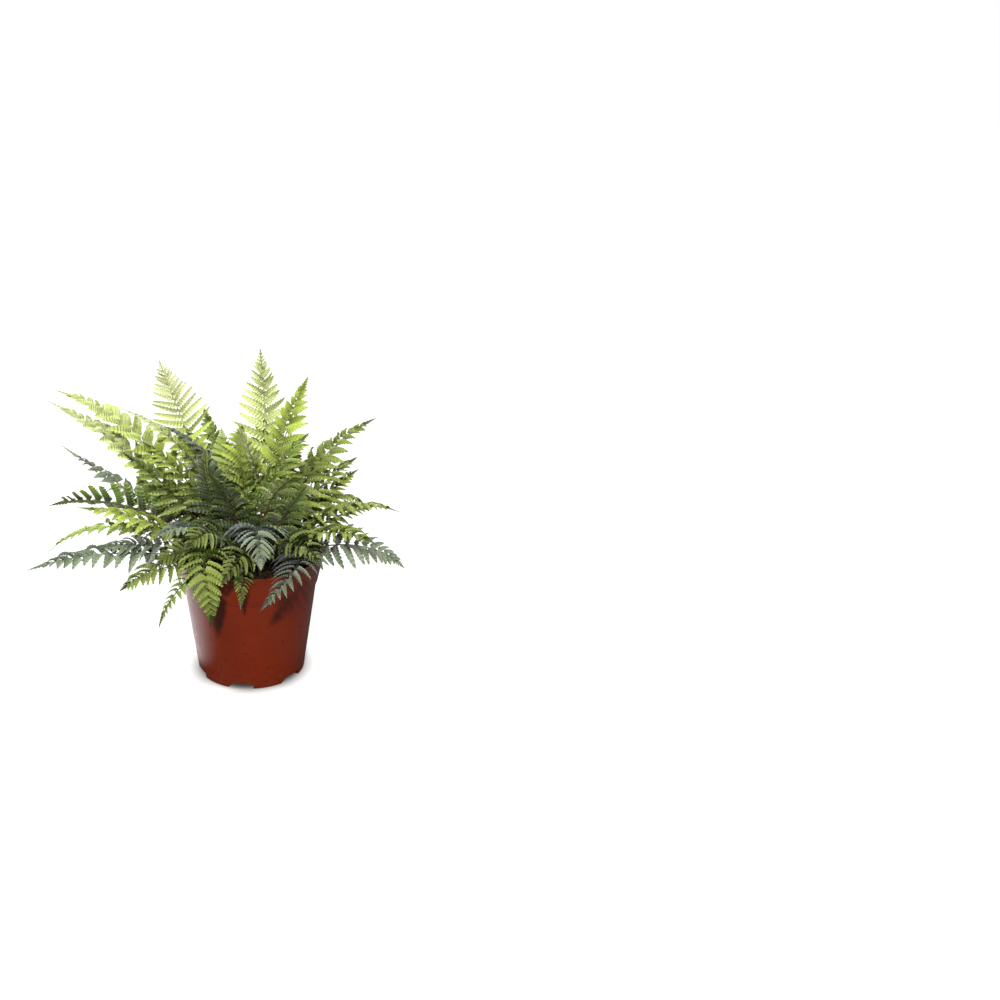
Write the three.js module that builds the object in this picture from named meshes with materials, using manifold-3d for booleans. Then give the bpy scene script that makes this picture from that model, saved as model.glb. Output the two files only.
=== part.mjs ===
// A potted lady fern: a clump of pinnate fronds growing from a low scaly crown,
// in dark potting soil, in a thin terracotta-coloured plastic nursery pot.
//
// Millimetres, +Z up. The origin is the centre of the flat base on which the pot stands.
// -Y is the side towards the viewer, +X is to the viewer's right.

import * as THREE from "three";
import { mergeVertices } from "three/addons/utils/BufferGeometryUtils.js";
import Module from "manifold-3d";

const wasm = await Module();
wasm.setup();

// Pot: a 12 cm nursery pot, measured on its outside
const POT_HEIGHT = 106;
const RIM_RADIUS = 60;
const BASE_RADIUS = 43;
const WALL = 1.3;
const FLOOR = 1.6;
const BAND_LOW = 80;            // height of the rim band's lower edge
const BAND_LOW_RADIUS = 54.4;
const BAND_STEP = 1;            // how far the band stands out from the wall below it
const BAND_LEDGE = 0.4;         // height of the slanting ledge under the band
const BASE_BEVEL = 1;
const LIP_OUT = 0.3;            // how far the lip stands out from the band
const LIP_HEIGHT = 1.2;
const POT_SIDES = 36;

// Foot channels under the pot, which let water out; one faces the viewer
const CHANNELS = 6;
const CHANNEL_WIDTH = 17;
const CHANNEL_HEIGHT = 5;
const CHANNEL_START = 27;       // distance from the axis where a channel begins
const DRAIN_WIDTH = 9;
const DRAIN_LENGTH = 5;
const DRAIN_RADIUS = 34;

// Soil
const CLEARANCE = 0.3;
const SOIL_TOP = 97.5;
const SOIL_REACH = 57.2;        // radius of the soil's top before the wall trims it
const SOIL_DIP = 1;             // how much lower it lies at the wall
const SOIL_LUMP = 1.1;
const LUMP_WAVES = { across: 0.31, along: 0.27, slant: 0.19, shift: 0.9 };
const BED_DEPTH = 2.5;          // the shallow bed that the crown sits in
const BED_MARGIN = 1;
const BED_BANK = 1.5;           // width of the bed's sloping bank

// Crown
const CROWN_RADIUS = 40;
const CROWN_EDGE = 98;          // height of the crown's edge
const CROWN_RISE = 7;           // the dome's height over its edge
const CROWN_RINGS = [1, 0.6, 0];
const CROWN_SIDES = 14;
const CROWN_KNOB = 0.6;
const KNOB_WAVES = { across: 0.35, along: 0.4 };

// Fronds
const STEPS = 48;               // steps in which a rachis is drawn
const BEND = 1.6;               // how late along its length a frond bends over
const FOOT = 33;                // how far out on the crown the flattest fronds stand
const FOOT_SPREAD = 0.8;
const ROOT_DEPTH = 6;           // length of stalk inside its hole in the crown
const HOLE_CLEARANCE = 0.4;
const HOLE_ABOVE = 12;          // how far the hole reaches above the stalk's foot
const STIPE_HALF = 1;           // half the stalk's width at the crown
const RACHIS_HALF = 0.65;       // half the rachis's width where the blade begins
const TIP_HALF = 0.45;
const STIPE_CUTS = 3;

// Pinnae, the leaflets on both sides of a rachis
const BLADE_END = 0.86;         // part of the blade that carries separate pinnae
const CROWDING = 0.4;           // how much closer they stand towards the tip
const LOWEST = 0.7;             // length of the lowest ones beside the longest
const SWELL = 1.5;              // how soon the longest ones come
const TAPER = 1.15;
const TAPER_BOW = 0.95;
const ANGLE_LOW = 78;           // degrees between rachis and pinna, at the blade's foot
const ANGLE_TIP = 40;
const BLADE_HALF = 0.35;        // half a pinna's thickness
const SHOULDER = 0.38;          // where along a pinna its rear edge stands out most
const BELLY = 0.37;             // how far it stands out there, in spaces between pinnae
const HOOK = 0.1;               // how far a pinna's tip hooks forward, in its lengths
const DROOP = 0.2;              // how far a pinna's tip hangs, in its lengths
const TAIL_SHOULDER = 0.25;     // where along the tail it is broadest
const TAIL_WING = 0.11;         // its half width there, in pinna lengths

// How fronds keep clear of each other
const FROND_GAP = 0.45;
const FOOT_GAP = 3.4;           // least distance between two stalks at the crown
const CROWN_GAP = 0.24;
const TRIES = 400;
const TRY_TURN = 2.2;           // degrees by which the tries spread
const TRY_RISE = 1.6;
const TRY_ANGLE = 2.4;

// One row per frond that shows singly, then the mound rows, which fill the clump between and
// behind them. turn is the compass direction in which a frond leaves the crown, counted from
// +X towards +Y, and rise its slope there; fall is the slope at its tip and sweep what it
// turns sideways on the way. long is the length of stalk and rachis, wide the longest pinna's
// nominal length, pairs the number of pinna pairs, bare the part of the length that is stalk,
// and roll the turn about its own rachis.
const FRONDS = [
  { name: "pale_left", turn: 147, rise: 60, fall: 63, long: 160, wide: 30, pairs: 13, bare: 0.56,
    roll: -45 },
  { name: "tall_right", turn: 84, rise: 56, fall: 80, long: 160, wide: 37, pairs: 13, bare: 0.34,
    sweep: 40 },
  { name: "blue_arch", turn: 174, rise: 82, fall: 15, long: 128, wide: 24, pairs: 10, bare: 0.46,
    sweep: -3, roll: 30 },
  { name: "arch_upper", turn: 171, rise: 58, fall: 4, long: 195, wide: 28, pairs: 11, bare: 0.4,
    sweep: -14 },
  { name: "arch_lower", turn: 170, rise: 48, fall: 23, long: 182, wide: 26, pairs: 11, bare: 0.4,
    sweep: 6 },
  { name: "long_low_left", turn: 205, rise: 16, fall: -8, long: 146, wide: 29, pairs: 11, bare: 0.3,
    sweep: 14 },
  { name: "bright_front", turn: 246, rise: 46, fall: -108, long: 118, wide: 28, pairs: 11, bare: 0.3,
    sweep: 80 },
  { name: "silver_front", turn: 285, rise: 66, fall: -60, long: 104, wide: 34, pairs: 11, bare: 0.28 },
  { name: "silver_hang", turn: 317, rise: 38, fall: -54, long: 128, wide: 28, pairs: 11, bare: 0.35,
    sweep: -116 },
  { name: "right_low", turn: 358, rise: 25, fall: -46, long: 102, wide: 27, pairs: 10, bare: 0.28,
    roll: 30 },
  { name: "upstanding_left", turn: 179, rise: 35, fall: -19, long: 141, wide: 25, pairs: 10, bare: 0.35,
    sweep: 6, roll: 60 },
  { name: "yellow_left", turn: 198, rise: 36, fall: 9, long: 117, wide: 28, pairs: 9, bare: 0.32,
    sweep: 1 },
  { name: "thin_left", turn: 189, rise: 30, fall: -50, long: 143, wide: 20, pairs: 9, bare: 0.35,
    sweep: -9 },
  { name: "grey_far_left", turn: 160, rise: 22, fall: 33, long: 153, wide: 20, pairs: 10, bare: 0.35,
    sweep: 15 },
  { name: "low_left", turn: 222, rise: 17, fall: -25, long: 88, wide: 29, pairs: 8, bare: 0.28, sweep: 6 },
  { name: "hang_left_tip", turn: 248, rise: 27, fall: -67, long: 103, wide: 16, pairs: 8, bare: 0.3,
    sweep: -9 },
  { name: "small_front", turn: 275, rise: 26, fall: -60, long: 62, wide: 11, pairs: 7, bare: 0.35 },
  { name: "dark_centre", turn: 212, rise: 69, fall: 90, long: 96, wide: 29, pairs: 11, bare: 0.32,
    roll: 75 },
  { name: "narrow_yellow", turn: 8, rise: 82, fall: 134, long: 108, wide: 18, pairs: 9, bare: 0.55,
    sweep: -60, roll: 20 },
  { name: "curled_young", turn: 166, rise: 71, fall: 12, long: 150, wide: 13, pairs: 7, bare: 0.6,
    sweep: 4 },
  { name: "yellow_right", turn: 34, rise: 45, fall: 25, long: 92, wide: 27, pairs: 8, bare: 0.3 },
  { name: "dark_right", turn: 16, rise: 39, fall: 0, long: 88, wide: 25, pairs: 8, bare: 0.3 },
  { name: "silver_near", turn: 228, rise: 58, fall: -20, long: 88, wide: 27, pairs: 8, bare: 0.28 },
  { name: "back_right", turn: 68, rise: 68, fall: 40, long: 146, wide: 30, pairs: 9, bare: 0.34 },
  { name: "arch_right", turn: 38, rise: 62, fall: 12, long: 142, wide: 29, pairs: 9, bare: 0.34 },
  { name: "mound_1", turn: 130, rise: 73, fall: 34, long: 100, wide: 29, pairs: 7, bare: 0.26, sweep: -25,
    roll: -12 },
  { name: "mound_2", turn: 155, rise: 50, fall: -26, long: 95, wide: 30, pairs: 7, bare: 0.32, sweep: 27,
    roll: -30 },
  { name: "mound_3", turn: -31, rise: 81, fall: 14, long: 104, wide: 30, pairs: 7, bare: 0.25, sweep: -19,
    roll: -36 },
  { name: "mound_4", turn: 177, rise: 65, fall: 32, long: 114, wide: 27, pairs: 7, bare: 0.37, sweep: 5,
    roll: -10 },
  { name: "mound_5", turn: 236, rise: 75, fall: 51, long: 66, wide: 27, pairs: 6, bare: 0.23, sweep: 4,
    roll: 32 },
  { name: "mound_6", turn: 226, rise: 43, fall: -45, long: 68, wide: 23, pairs: 6, bare: 0.3, sweep: -12,
    roll: -38 },
  { name: "mound_7", turn: -41, rise: 63, fall: 51, long: 88, wide: 23, pairs: 7, bare: 0.33, sweep: 14,
    roll: -33 },
  { name: "mound_8", turn: 116, rise: 82, fall: 8, long: 110, wide: 29, pairs: 7, bare: 0.34, sweep: -24,
    roll: 18 },
  { name: "mound_9", turn: 277, rise: 46, fall: -38, long: 89, wide: 23, pairs: 7, bare: 0.26, sweep: -29,
    roll: -36 },
  { name: "mound_10", turn: 212, rise: 28, fall: -7, long: 97, wide: 25, pairs: 7, bare: 0.33, sweep: -18,
    roll: -15 },
  { name: "mound_11", turn: -52, rise: 49, fall: -28, long: 112, wide: 25, pairs: 7, bare: 0.28,
    sweep: -5, roll: 22 },
  { name: "mound_12", turn: 135, rise: 58, fall: 17, long: 119, wide: 26, pairs: 7, bare: 0.25, sweep: -8,
    roll: -2 },
  { name: "mound_13", turn: 247, rise: 62, fall: -31, long: 85, wide: 27, pairs: 7, bare: 0.33, sweep: -4,
    roll: -29 },
  { name: "mound_14", turn: 192, rise: 56, fall: 38, long: 116, wide: 28, pairs: 7, bare: 0.24, sweep: -2,
    roll: -37 },
  { name: "mound_15", turn: 78, rise: 32, fall: 11, long: 114, wide: 30, pairs: 7, bare: 0.28, sweep: 10,
    roll: 12 },
  { name: "mound_16", turn: 258, rise: 73, fall: 41, long: 102, wide: 28, pairs: 7, bare: 0.26,
    sweep: -23, roll: 18 },
  { name: "mound_17", turn: 152, rise: 23, fall: 0, long: 115, wide: 24, pairs: 7, bare: 0.34, sweep: -29,
    roll: -14 },
  { name: "mound_18", turn: 4, rise: 75, fall: -10, long: 60, wide: 29, pairs: 6, bare: 0.22, sweep: -8,
    roll: 34 },
  { name: "mound_19", turn: 131, rise: 45, fall: 14, long: 121, wide: 29, pairs: 7, bare: 0.33, sweep: -7,
    roll: -11 },
  { name: "mound_20", turn: 93, rise: 53, fall: 42, long: 116, wide: 25, pairs: 7, bare: 0.33, sweep: -5,
    roll: 7 },
];

// The rest of the clump grows in tiers, each an even ring of fronds round the crown
const TIERS = [
  { name: "low", count: 4, first: 62, arc: 150,
    rise: 30, fall: -38, long: 108, wide: 28, pairs: 7, bare: 0.3 },
  { name: "middle", count: 5, first: -34, arc: 200,
    rise: 48, fall: -10, long: 110, wide: 28, pairs: 7, bare: 0.3 },
  { name: "high", count: 3, first: 0, arc: 150,
    rise: 66, fall: 26, long: 112, wide: 28, pairs: 7, bare: 0.32 },
];
const TIER_SEED = 17;

// How far the fronds of a tier differ from their ring: degrees, and parts of a length
const VARIETY = { turn: 7, rise: 5, fall: 14, sweep: 14, roll: 12, long: 0.12, wide: 0.1 };

const radians = THREE.MathUtils.degToRad;
const mix = THREE.MathUtils.lerp;

// A repeatable random number from 0 to 1
const hash = (i, k) => {
  const wave = Math.sin(i * 12.9898 + k * 78.233) * 43758.5453;
  return wave - Math.floor(wave);
};

function finish(color, roughness) {
  return new THREE.MeshStandardMaterial({ color, roughness, metalness: 0 });
}

// A closed three.js geometry as a solid, with its shared vertices merged
function toSolid(geometry) {
  const bare = geometry.clone();
  bare.deleteAttribute("normal");
  bare.deleteAttribute("uv");
  const merged = mergeVertices(bare, 1e-4);
  const index = merged.index.array;
  const kept = [];
  for (let i = 0; i < index.length; i += 3) {
    const [a, b, c] = [index[i], index[i + 1], index[i + 2]];
    if (a !== b && b !== c && c !== a) kept.push(a, b, c);
  }
  const vertProperties = new Float32Array(merged.attributes.position.array);
  const triVerts = new Uint32Array(kept);
  return new wasm.Manifold(new wasm.Mesh({ numProp: 3, vertProperties, triVerts }));
}

function toMesh(solid, name, material) {
  const { vertProperties, triVerts } = solid.getMesh();
  const geometry = new THREE.BufferGeometry();
  geometry.setAttribute("position", new THREE.BufferAttribute(vertProperties, 3));
  geometry.setIndex(new THREE.BufferAttribute(triVerts, 1));
  geometry.computeVertexNormals();
  const mesh = new THREE.Mesh(geometry, material);
  mesh.name = name;
  return mesh;
}

// A surface of revolution about Z, from [radius, height] points that run upwards on its outside
function lathe(profile, sides) {
  const points = profile.map(([radius, height]) => new THREE.Vector2(radius, height));
  return new THREE.LatheGeometry(points, sides).rotateX(Math.PI / 2);
}

const turned = (profile) => toSolid(lathe(profile, POT_SIDES));

// A bar that lies along the direction angle, from one distance to another, low to high
function spoke(angle, from, to, width, low, high) {
  const box = new THREE.BoxGeometry(to - from, width, high - low);
  box.translate((from + to) / 2, 0, (low + high) / 2).rotateZ(angle);
  return toSolid(box);
}

const wallRadius = (height) => mix(BASE_RADIUS, BAND_LOW_RADIUS - BAND_STEP, height / BAND_LOW);

function channelAngles() {
  return Array.from({ length: CHANNELS }, (_, i) => -Math.PI / 2 + (i * 2 * Math.PI) / CHANNELS);
}

// The space inside the pot, grown inwards by gap; the channels stand up from its floor
function cavity(gap, top) {
  const inset = WALL + gap;
  const rimSlope = (RIM_RADIUS - BAND_LOW_RADIUS) / (POT_HEIGHT - BAND_LOW);
  const rimInner = BAND_LOW_RADIUS - inset + (top - BAND_LOW) * rimSlope;
  let space = turned([
    [0, FLOOR + gap],
    [wallRadius(FLOOR) - inset, FLOOR + gap],
    [wallRadius(BAND_LOW) - inset, BAND_LOW],
    [BAND_LOW_RADIUS - inset, BAND_LOW + 2 * BAND_STEP],
    [rimInner, top],
    [0, top],
  ]);
  const roof = CHANNEL_HEIGHT + WALL + gap;
  for (const angle of channelAngles()) {
    const width = CHANNEL_WIDTH + 2 * inset;
    space = space.subtract(spoke(angle, CHANNEL_START - inset, RIM_RADIUS, width, -1, roof));
  }
  return space;
}

function makePot() {
  const outside = turned([
    [0, 0],
    [BASE_RADIUS - BASE_BEVEL, 0],
    [BASE_RADIUS, BASE_BEVEL],
    [wallRadius(BAND_LOW), BAND_LOW],
    [BAND_LOW_RADIUS, BAND_LOW + BAND_LEDGE],
    [RIM_RADIUS - LIP_OUT, POT_HEIGHT - LIP_HEIGHT],
    [RIM_RADIUS, POT_HEIGHT],
    [0, POT_HEIGHT],
  ]);
  let pot = outside.subtract(cavity(0, POT_HEIGHT + 1));
  const roof = CHANNEL_HEIGHT + WALL;
  for (const angle of channelAngles()) {
    const drainEnd = DRAIN_RADIUS + DRAIN_LENGTH;
    pot = pot.subtract(spoke(angle, CHANNEL_START, RIM_RADIUS, CHANNEL_WIDTH, -1, CHANNEL_HEIGHT));
    pot = pot.subtract(spoke(angle, DRAIN_RADIUS, drainEnd, DRAIN_WIDTH, 1, roof + 1));
  }
  return pot;
}

const soilLump = (x, y) => {
  const { across, along, slant, shift } = LUMP_WAVES;
  return SOIL_LUMP * (Math.sin(across * x + shift) * Math.cos(along * y) + Math.sin(slant * (x - y)));
};

// Soil: fills the pot, lumpy on top, with a shallow bed for the crown
function makeSoil() {
  const bedRadius = CROWN_RADIUS + BED_MARGIN;
  const bed = SOIL_TOP - BED_DEPTH;
  const mound = lathe([
    [0, BAND_LOW],
    [SOIL_REACH, BAND_LOW],
    [SOIL_REACH, SOIL_TOP - SOIL_DIP],
    [bedRadius + BED_BANK, SOIL_TOP],
    [bedRadius, bed],
    [0, bed],
  ], POT_SIDES);
  const place = mound.attributes.position;
  for (let i = 0; i < place.count; i++) {
    const [x, y, z] = [place.getX(i), place.getY(i), place.getZ(i)];
    if (z > (bed + SOIL_TOP) / 2) place.setZ(i, z + soilLump(x, y));
  }
  const lower = turned([[0, 0], [RIM_RADIUS, 0], [RIM_RADIUS, BAND_LOW + 1], [0, BAND_LOW + 1]]);
  return toSolid(mound).add(lower).intersect(cavity(CLEARANCE, POT_HEIGHT));
}

const crownHeight = (radius) => CROWN_EDGE + CROWN_RISE * (1 - (radius / CROWN_RADIUS) ** 2);

// Crown: a low dome of old leaf bases, with shallow knobs
function makeCrown() {
  const foot = SOIL_TOP - BED_DEPTH + CLEARANCE;
  const rings = CROWN_RINGS.map((part) => [CROWN_RADIUS * part, crownHeight(CROWN_RADIUS * part)]);
  const dome = lathe([[0, foot], [CROWN_RADIUS, foot], ...rings], CROWN_SIDES);
  const place = dome.attributes.position;
  for (let i = 0; i < place.count; i++) {
    const [x, y, z] = [place.getX(i), place.getY(i), place.getZ(i)];
    const knob = 1 + Math.sin(KNOB_WAVES.across * x) * Math.cos(KNOB_WAVES.along * y);
    if (z > (foot + CROWN_EDGE) / 2) place.setZ(i, z - CROWN_KNOB * knob);
  }
  return toSolid(dome);
}

// The frond's direction at the part s of its length: along it, across it and out of its upper face
function heading(frond, s) {
  const bent = s ** BEND;
  const rise = radians(mix(frond.rise, frond.fall, bent));
  const turn = radians(frond.turn + frond.sweep * bent);
  const ahead = new THREE.Vector3(
    Math.cos(rise) * Math.cos(turn),
    Math.cos(rise) * Math.sin(turn),
    Math.sin(rise),
  );
  const across = new THREE.Vector3(-Math.sin(turn), Math.cos(turn), 0);
  const up = ahead.clone().cross(across);
  const roll = radians(frond.roll);
  return {
    ahead,
    across: across.clone().multiplyScalar(Math.cos(roll)).addScaledVector(up, Math.sin(roll)),
    up: up.clone().multiplyScalar(Math.cos(roll)).addScaledVector(across, -Math.sin(roll)),
  };
}

// The rachis as STEPS short straight pieces, from its foot on the crown
function rachis(frond) {
  const out = FOOT * Math.max(0, Math.cos(radians(frond.rise))) ** FOOT_SPREAD;
  const turn = radians(frond.turn);
  const path = [new THREE.Vector3(out * Math.cos(turn), out * Math.sin(turn), crownHeight(out))];
  for (let i = 0; i < STEPS; i++) {
    const step = heading(frond, (i + 0.5) / STEPS).ahead;
    path.push(path[i].clone().addScaledVector(step, frond.long / STEPS));
  }
  return path;
}

function placeOn(path, s) {
  const step = Math.min(Math.floor(s * STEPS), STEPS - 1);
  return path[step].clone().lerp(path[step + 1], s * STEPS - step);
}

// Where pinna i begins along the blade: the pinnae stand closer towards the tip
const stationOf = (frond, i) => {
  const x = i / frond.pairs;
  return BLADE_END * x * (1 + CROWDING * (1 - x));
};

const pinnaLength = (frond, t) =>
  frond.wide * Math.min(1, LOWEST + SWELL * t) * (1 - t ** TAPER) ** TAPER_BOW;
const pinnaAngle = (t) => radians(mix(ANGLE_LOW, ANGLE_TIP, t));

// A frond: a four-sided stalk that thins into the rachis, a falcate pinna on each side of
// every stretch between two stations, and a pointed tail. Upper and lower face are split
// into the same triangles.
function makeFrond(frond) {
  const path = rachis(frond);
  const vertices = [];
  const faces = [];
  const point = (place, up, half) => {
    vertices.push(place.clone().addScaledVector(up, half), place.clone().addScaledVector(up, -half));
    return vertices.length - 2;
  };
  const sheet = (a, b, c) => faces.push([a, b, c], [a + 1, c + 1, b + 1]);
  const edge = (a, b) => faces.push([b, a, a + 1], [b, a + 1, b + 1]);

  const ring = (s, back) => {
    const { ahead, across, up } = heading(frond, s);
    const centre = placeOn(path, s).addScaledVector(ahead, -back);
    const inBlade = s >= frond.bare;
    const along = inBlade ? (s - frond.bare) / (1 - frond.bare) : s / frond.bare;
    const half = inBlade ? mix(RACHIS_HALF, TIP_HALF, along) : mix(STIPE_HALF, RACHIS_HALF, along);
    const left = point(centre.clone().addScaledVector(across, half), up, half);
    const right = point(centre.clone().addScaledVector(across, -half), up, half);
    return { left, right };
  };
  const join = (low, high) => {
    sheet(low.left, low.right, high.right);
    sheet(low.left, high.right, high.left);
  };

  let low = ring(0, ROOT_DEPTH);
  edge(low.left, low.right);
  for (let i = 0; i <= STIPE_CUTS; i++) {
    const high = ring((frond.bare * i) / STIPE_CUTS, 0);
    join(low, high);
    edge(high.left, low.left);
    edge(low.right, high.right);
    low = high;
  }

  for (let i = 0; i < frond.pairs; i++) {
    const [start, end] = [stationOf(frond, i), stationOf(frond, i + 1)];
    const t = (start + end) / 2;
    const spacing = (end - start) * (1 - frond.bare) * frond.long;
    const s = mix(frond.bare, 1, t);
    const high = ring(mix(frond.bare, 1, end), 0);
    join(low, high);
    const { ahead, across, up } = heading(frond, s);
    const centre = placeOn(path, s);
    const length = pinnaLength(frond, t);
    const [sine, cosine] = [Math.sin(pinnaAngle(t)), Math.cos(pinnaAngle(t))];
    for (const side of [1, -1]) {
      const out = across.clone().multiplyScalar(side * sine).addScaledVector(ahead, cosine);
      const back = across.clone().multiplyScalar(side * cosine).addScaledVector(ahead, -sine);
      const shoulder = centre.clone().addScaledVector(out, SHOULDER * length)
        .addScaledVector(back, BELLY * spacing).addScaledVector(up, -DROOP * SHOULDER ** 2 * length);
      const reach = centre.clone().addScaledVector(out, length)
        .addScaledVector(ahead, HOOK * length).addScaledVector(up, -DROOP * length);
      const belly = point(shoulder, up, BLADE_HALF);
      const tip = point(reach, up, BLADE_HALF);
      const [rear, front] = side > 0 ? [low.left, high.left] : [low.right, high.right];
      if (side > 0) {
        sheet(rear, front, belly);
        sheet(belly, front, tip);
        edge(front, tip);
        edge(tip, belly);
        edge(belly, rear);
      } else {
        sheet(rear, belly, front);
        sheet(belly, tip, front);
        edge(rear, belly);
        edge(belly, tip);
        edge(tip, front);
      }
    }
    low = high;
  }

  const broad = mix(frond.bare, 1, mix(BLADE_END, 1, TAIL_SHOULDER));
  const spread = heading(frond, broad);
  const wing = TAIL_WING * frond.wide;
  const left = point(placeOn(path, broad).addScaledVector(spread.across, wing), spread.up, BLADE_HALF);
  const right = point(placeOn(path, broad).addScaledVector(spread.across, -wing), spread.up, BLADE_HALF);
  const tip = point(path[STEPS], heading(frond, 1).up, BLADE_HALF);
  join(low, { left, right });
  sheet(left, right, tip);
  edge(left, low.left);
  edge(tip, left);
  edge(right, tip);
  edge(low.right, right);

  const geometry = new THREE.BufferGeometry().setFromPoints(vertices);
  geometry.setIndex(faces.flat());
  return { geometry, path };
}

// The hole in the crown for a frond's stalk: a square bar a little wider than the stalk
function stalkHole(frond) {
  const { ahead, across, up } = heading(frond, 0);
  const side = 2 * (STIPE_HALF + HOLE_CLEARANCE);
  const depth = ROOT_DEPTH + HOLE_CLEARANCE;
  const bar = new THREE.BoxGeometry(side, side, depth + HOLE_ABOVE);
  bar.translate(0, 0, (HOLE_ABOVE - depth) / 2);
  bar.applyMatrix4(new THREE.Matrix4().makeBasis(across, up, ahead).setPosition(rachis(frond)[0]));
  return toSolid(bar);
}

// Fronds of a tier: an even ring with seeded differences in direction, slope and size
function tierRows() {
  const rows = [];
  TIERS.forEach((tier, k) => {
    for (let i = 0; i < tier.count; i++) {
      const vary = (n, amount) => amount * (2 * hash(TIER_SEED * k + i, n) - 1);
      rows.push({
        name: `${tier.name}_${i + 1}`,
        turn: tier.first + (tier.arc * i) / tier.count + vary(1, VARIETY.turn),
        rise: tier.rise + vary(2, VARIETY.rise),
        fall: tier.fall + vary(3, VARIETY.fall),
        sweep: vary(4, VARIETY.sweep),
        roll: vary(5, VARIETY.roll),
        long: tier.long * (1 + vary(6, VARIETY.long)),
        wide: tier.wide * (1 + vary(7, VARIETY.wide)),
        pairs: tier.pairs,
        bare: tier.bare,
      });
    }
  });
  return rows;
}

// The k-th place that is tried for a frond: a slowly widening spiral in direction and slope
function bentBy(row, k) {
  const reach = Math.sqrt(k);
  return {
    sweep: 0,
    roll: 0,
    ...row,
    turn: row.turn + TRY_TURN * reach * Math.cos(TRY_ANGLE * k),
    rise: row.rise + TRY_RISE * reach * Math.sin(TRY_ANGLE * k),
  };
}

// Each frond is bent until it is clear of the pot, the soil, the crown's dome round its own
// stalk and every frond before it
function growClump(obstacles, dome) {
  const grown = [];
  const near = (a, b) => [0, 1, 2].every((axis) =>
    a.min[axis] <= b.max[axis] + FROND_GAP && b.min[axis] <= a.max[axis] + FROND_GAP);
  for (const row of [...FRONDS, ...tierRows()]) {
    for (let k = 0; k < TRIES; k++) {
      const frond = bentBy(row, k);
      const { geometry, path } = makeFrond(frond);
      if (grown.some((other) => other.path[0].distanceTo(path[0]) < FOOT_GAP)) continue;
      const solid = toSolid(geometry);
      const box = solid.boundingBox();
      const blocked = [...obstacles, ...grown].some((other) => near(box, other.box)
        && solid.minGap(other.solid, 2 * FROND_GAP) < FROND_GAP);
      if (blocked) continue;
      if (dome.subtract(stalkHole(frond)).minGap(solid, 1) < CROWN_GAP) continue;
      grown.push({ frond, solid, path, box });
      break;
    }
  }
  return grown;
}

const terracotta = finish(0x8a2f1b, 0.42);
const earth = finish(0x2b211b, 0.95);
const bark = finish(0x3d2a1c, 0.9);
const leafGreen = finish(0x5c7d3a, 0.6);

const plant = new THREE.Group();
const pot = makePot();
const soil = makeSoil();
const dome = makeCrown();
const clump = growClump([pot, soil].map((solid) => ({ solid, box: solid.boundingBox() })), dome);
const crown = clump.reduce((rest, { frond }) => rest.subtract(stalkHole(frond)), dome);
plant.add(toMesh(pot, "pot", terracotta), toMesh(soil, "soil", earth), toMesh(crown, "crown", bark));
for (const { frond, solid } of clump) plant.add(toMesh(solid, `frond_${frond.name}`, leafGreen));

export default plant;
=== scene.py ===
"""A lady fern in a terracotta-coloured plastic nursery pot, on a pale studio floor.

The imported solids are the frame. Each plain frond is replaced by a lacy one with the same stalk,
the same row of pinnae and the same droop; pot, soil and crown are replaced by finer surfaces.
Lengths are millimetres until a mesh is written. Meshes, lights and materials are in metres.
"""

import math

import bmesh
import bpy
import numpy as np
from mathutils import Matrix, Vector


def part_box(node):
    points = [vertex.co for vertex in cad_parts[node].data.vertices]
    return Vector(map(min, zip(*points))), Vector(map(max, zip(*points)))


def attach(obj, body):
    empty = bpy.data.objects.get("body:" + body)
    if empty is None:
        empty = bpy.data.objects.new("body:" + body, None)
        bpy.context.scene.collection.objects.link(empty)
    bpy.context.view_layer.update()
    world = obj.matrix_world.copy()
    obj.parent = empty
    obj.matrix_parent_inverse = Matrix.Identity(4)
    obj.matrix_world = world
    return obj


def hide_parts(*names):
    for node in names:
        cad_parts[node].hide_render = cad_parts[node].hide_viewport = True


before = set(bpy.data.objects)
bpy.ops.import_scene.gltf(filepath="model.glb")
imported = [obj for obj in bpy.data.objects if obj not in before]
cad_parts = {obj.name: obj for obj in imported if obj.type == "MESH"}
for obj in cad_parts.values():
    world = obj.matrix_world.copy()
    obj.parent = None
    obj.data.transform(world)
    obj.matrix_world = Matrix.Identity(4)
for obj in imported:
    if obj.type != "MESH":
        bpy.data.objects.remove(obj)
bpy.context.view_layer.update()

MM = 0.001
TURN = 2 * math.pi

# Camera: a 54 mm lens on a 36 mm sensor, 1.23 m from the middle of the pot, which it sees at POT_PIXEL
LENS = 54.0
SENSOR = 36.0
FRAME_PIXELS = 1000
CAMERA_TILT = 22.726
CAMERA_ROLL = 3.096
CAMERA_DISTANCE = 1231.72
POT_MIDDLE = np.array([0.0, 0.0, 55.0])
POT_PIXEL = (251.065, 604.42)

# Lights: name, place in metres, power in watts, side in metres, colour
LIGHT_AIM = (0, 0, 0.12)
LIGHTS = [
    ("key", (0.16, -1.70, 1.26), 40, 0.1, (1.0, 0.98, 0.95)),
    ("left_sheet", (-1.7, 0.75, 0.6), 8, 1.2, (1.0, 0.95, 0.96)),
    ("right_sheet", (1.6, -0.6, 0.7), 5.5, 1.2, (1.0, 0.98, 0.96)),
    ("overhead", (-0.5, -0.5, 1.8), 32, 0.2, (1.0, 0.99, 0.96)),
    ("back_sheet", (0.1, 1.8, 0.9), 16, 1.2, (0.97, 0.99, 1.0)),
]
AIR_GLOW = 0.05                 # the soft light from all round
FLOOR_REACH = 12000.0

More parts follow.
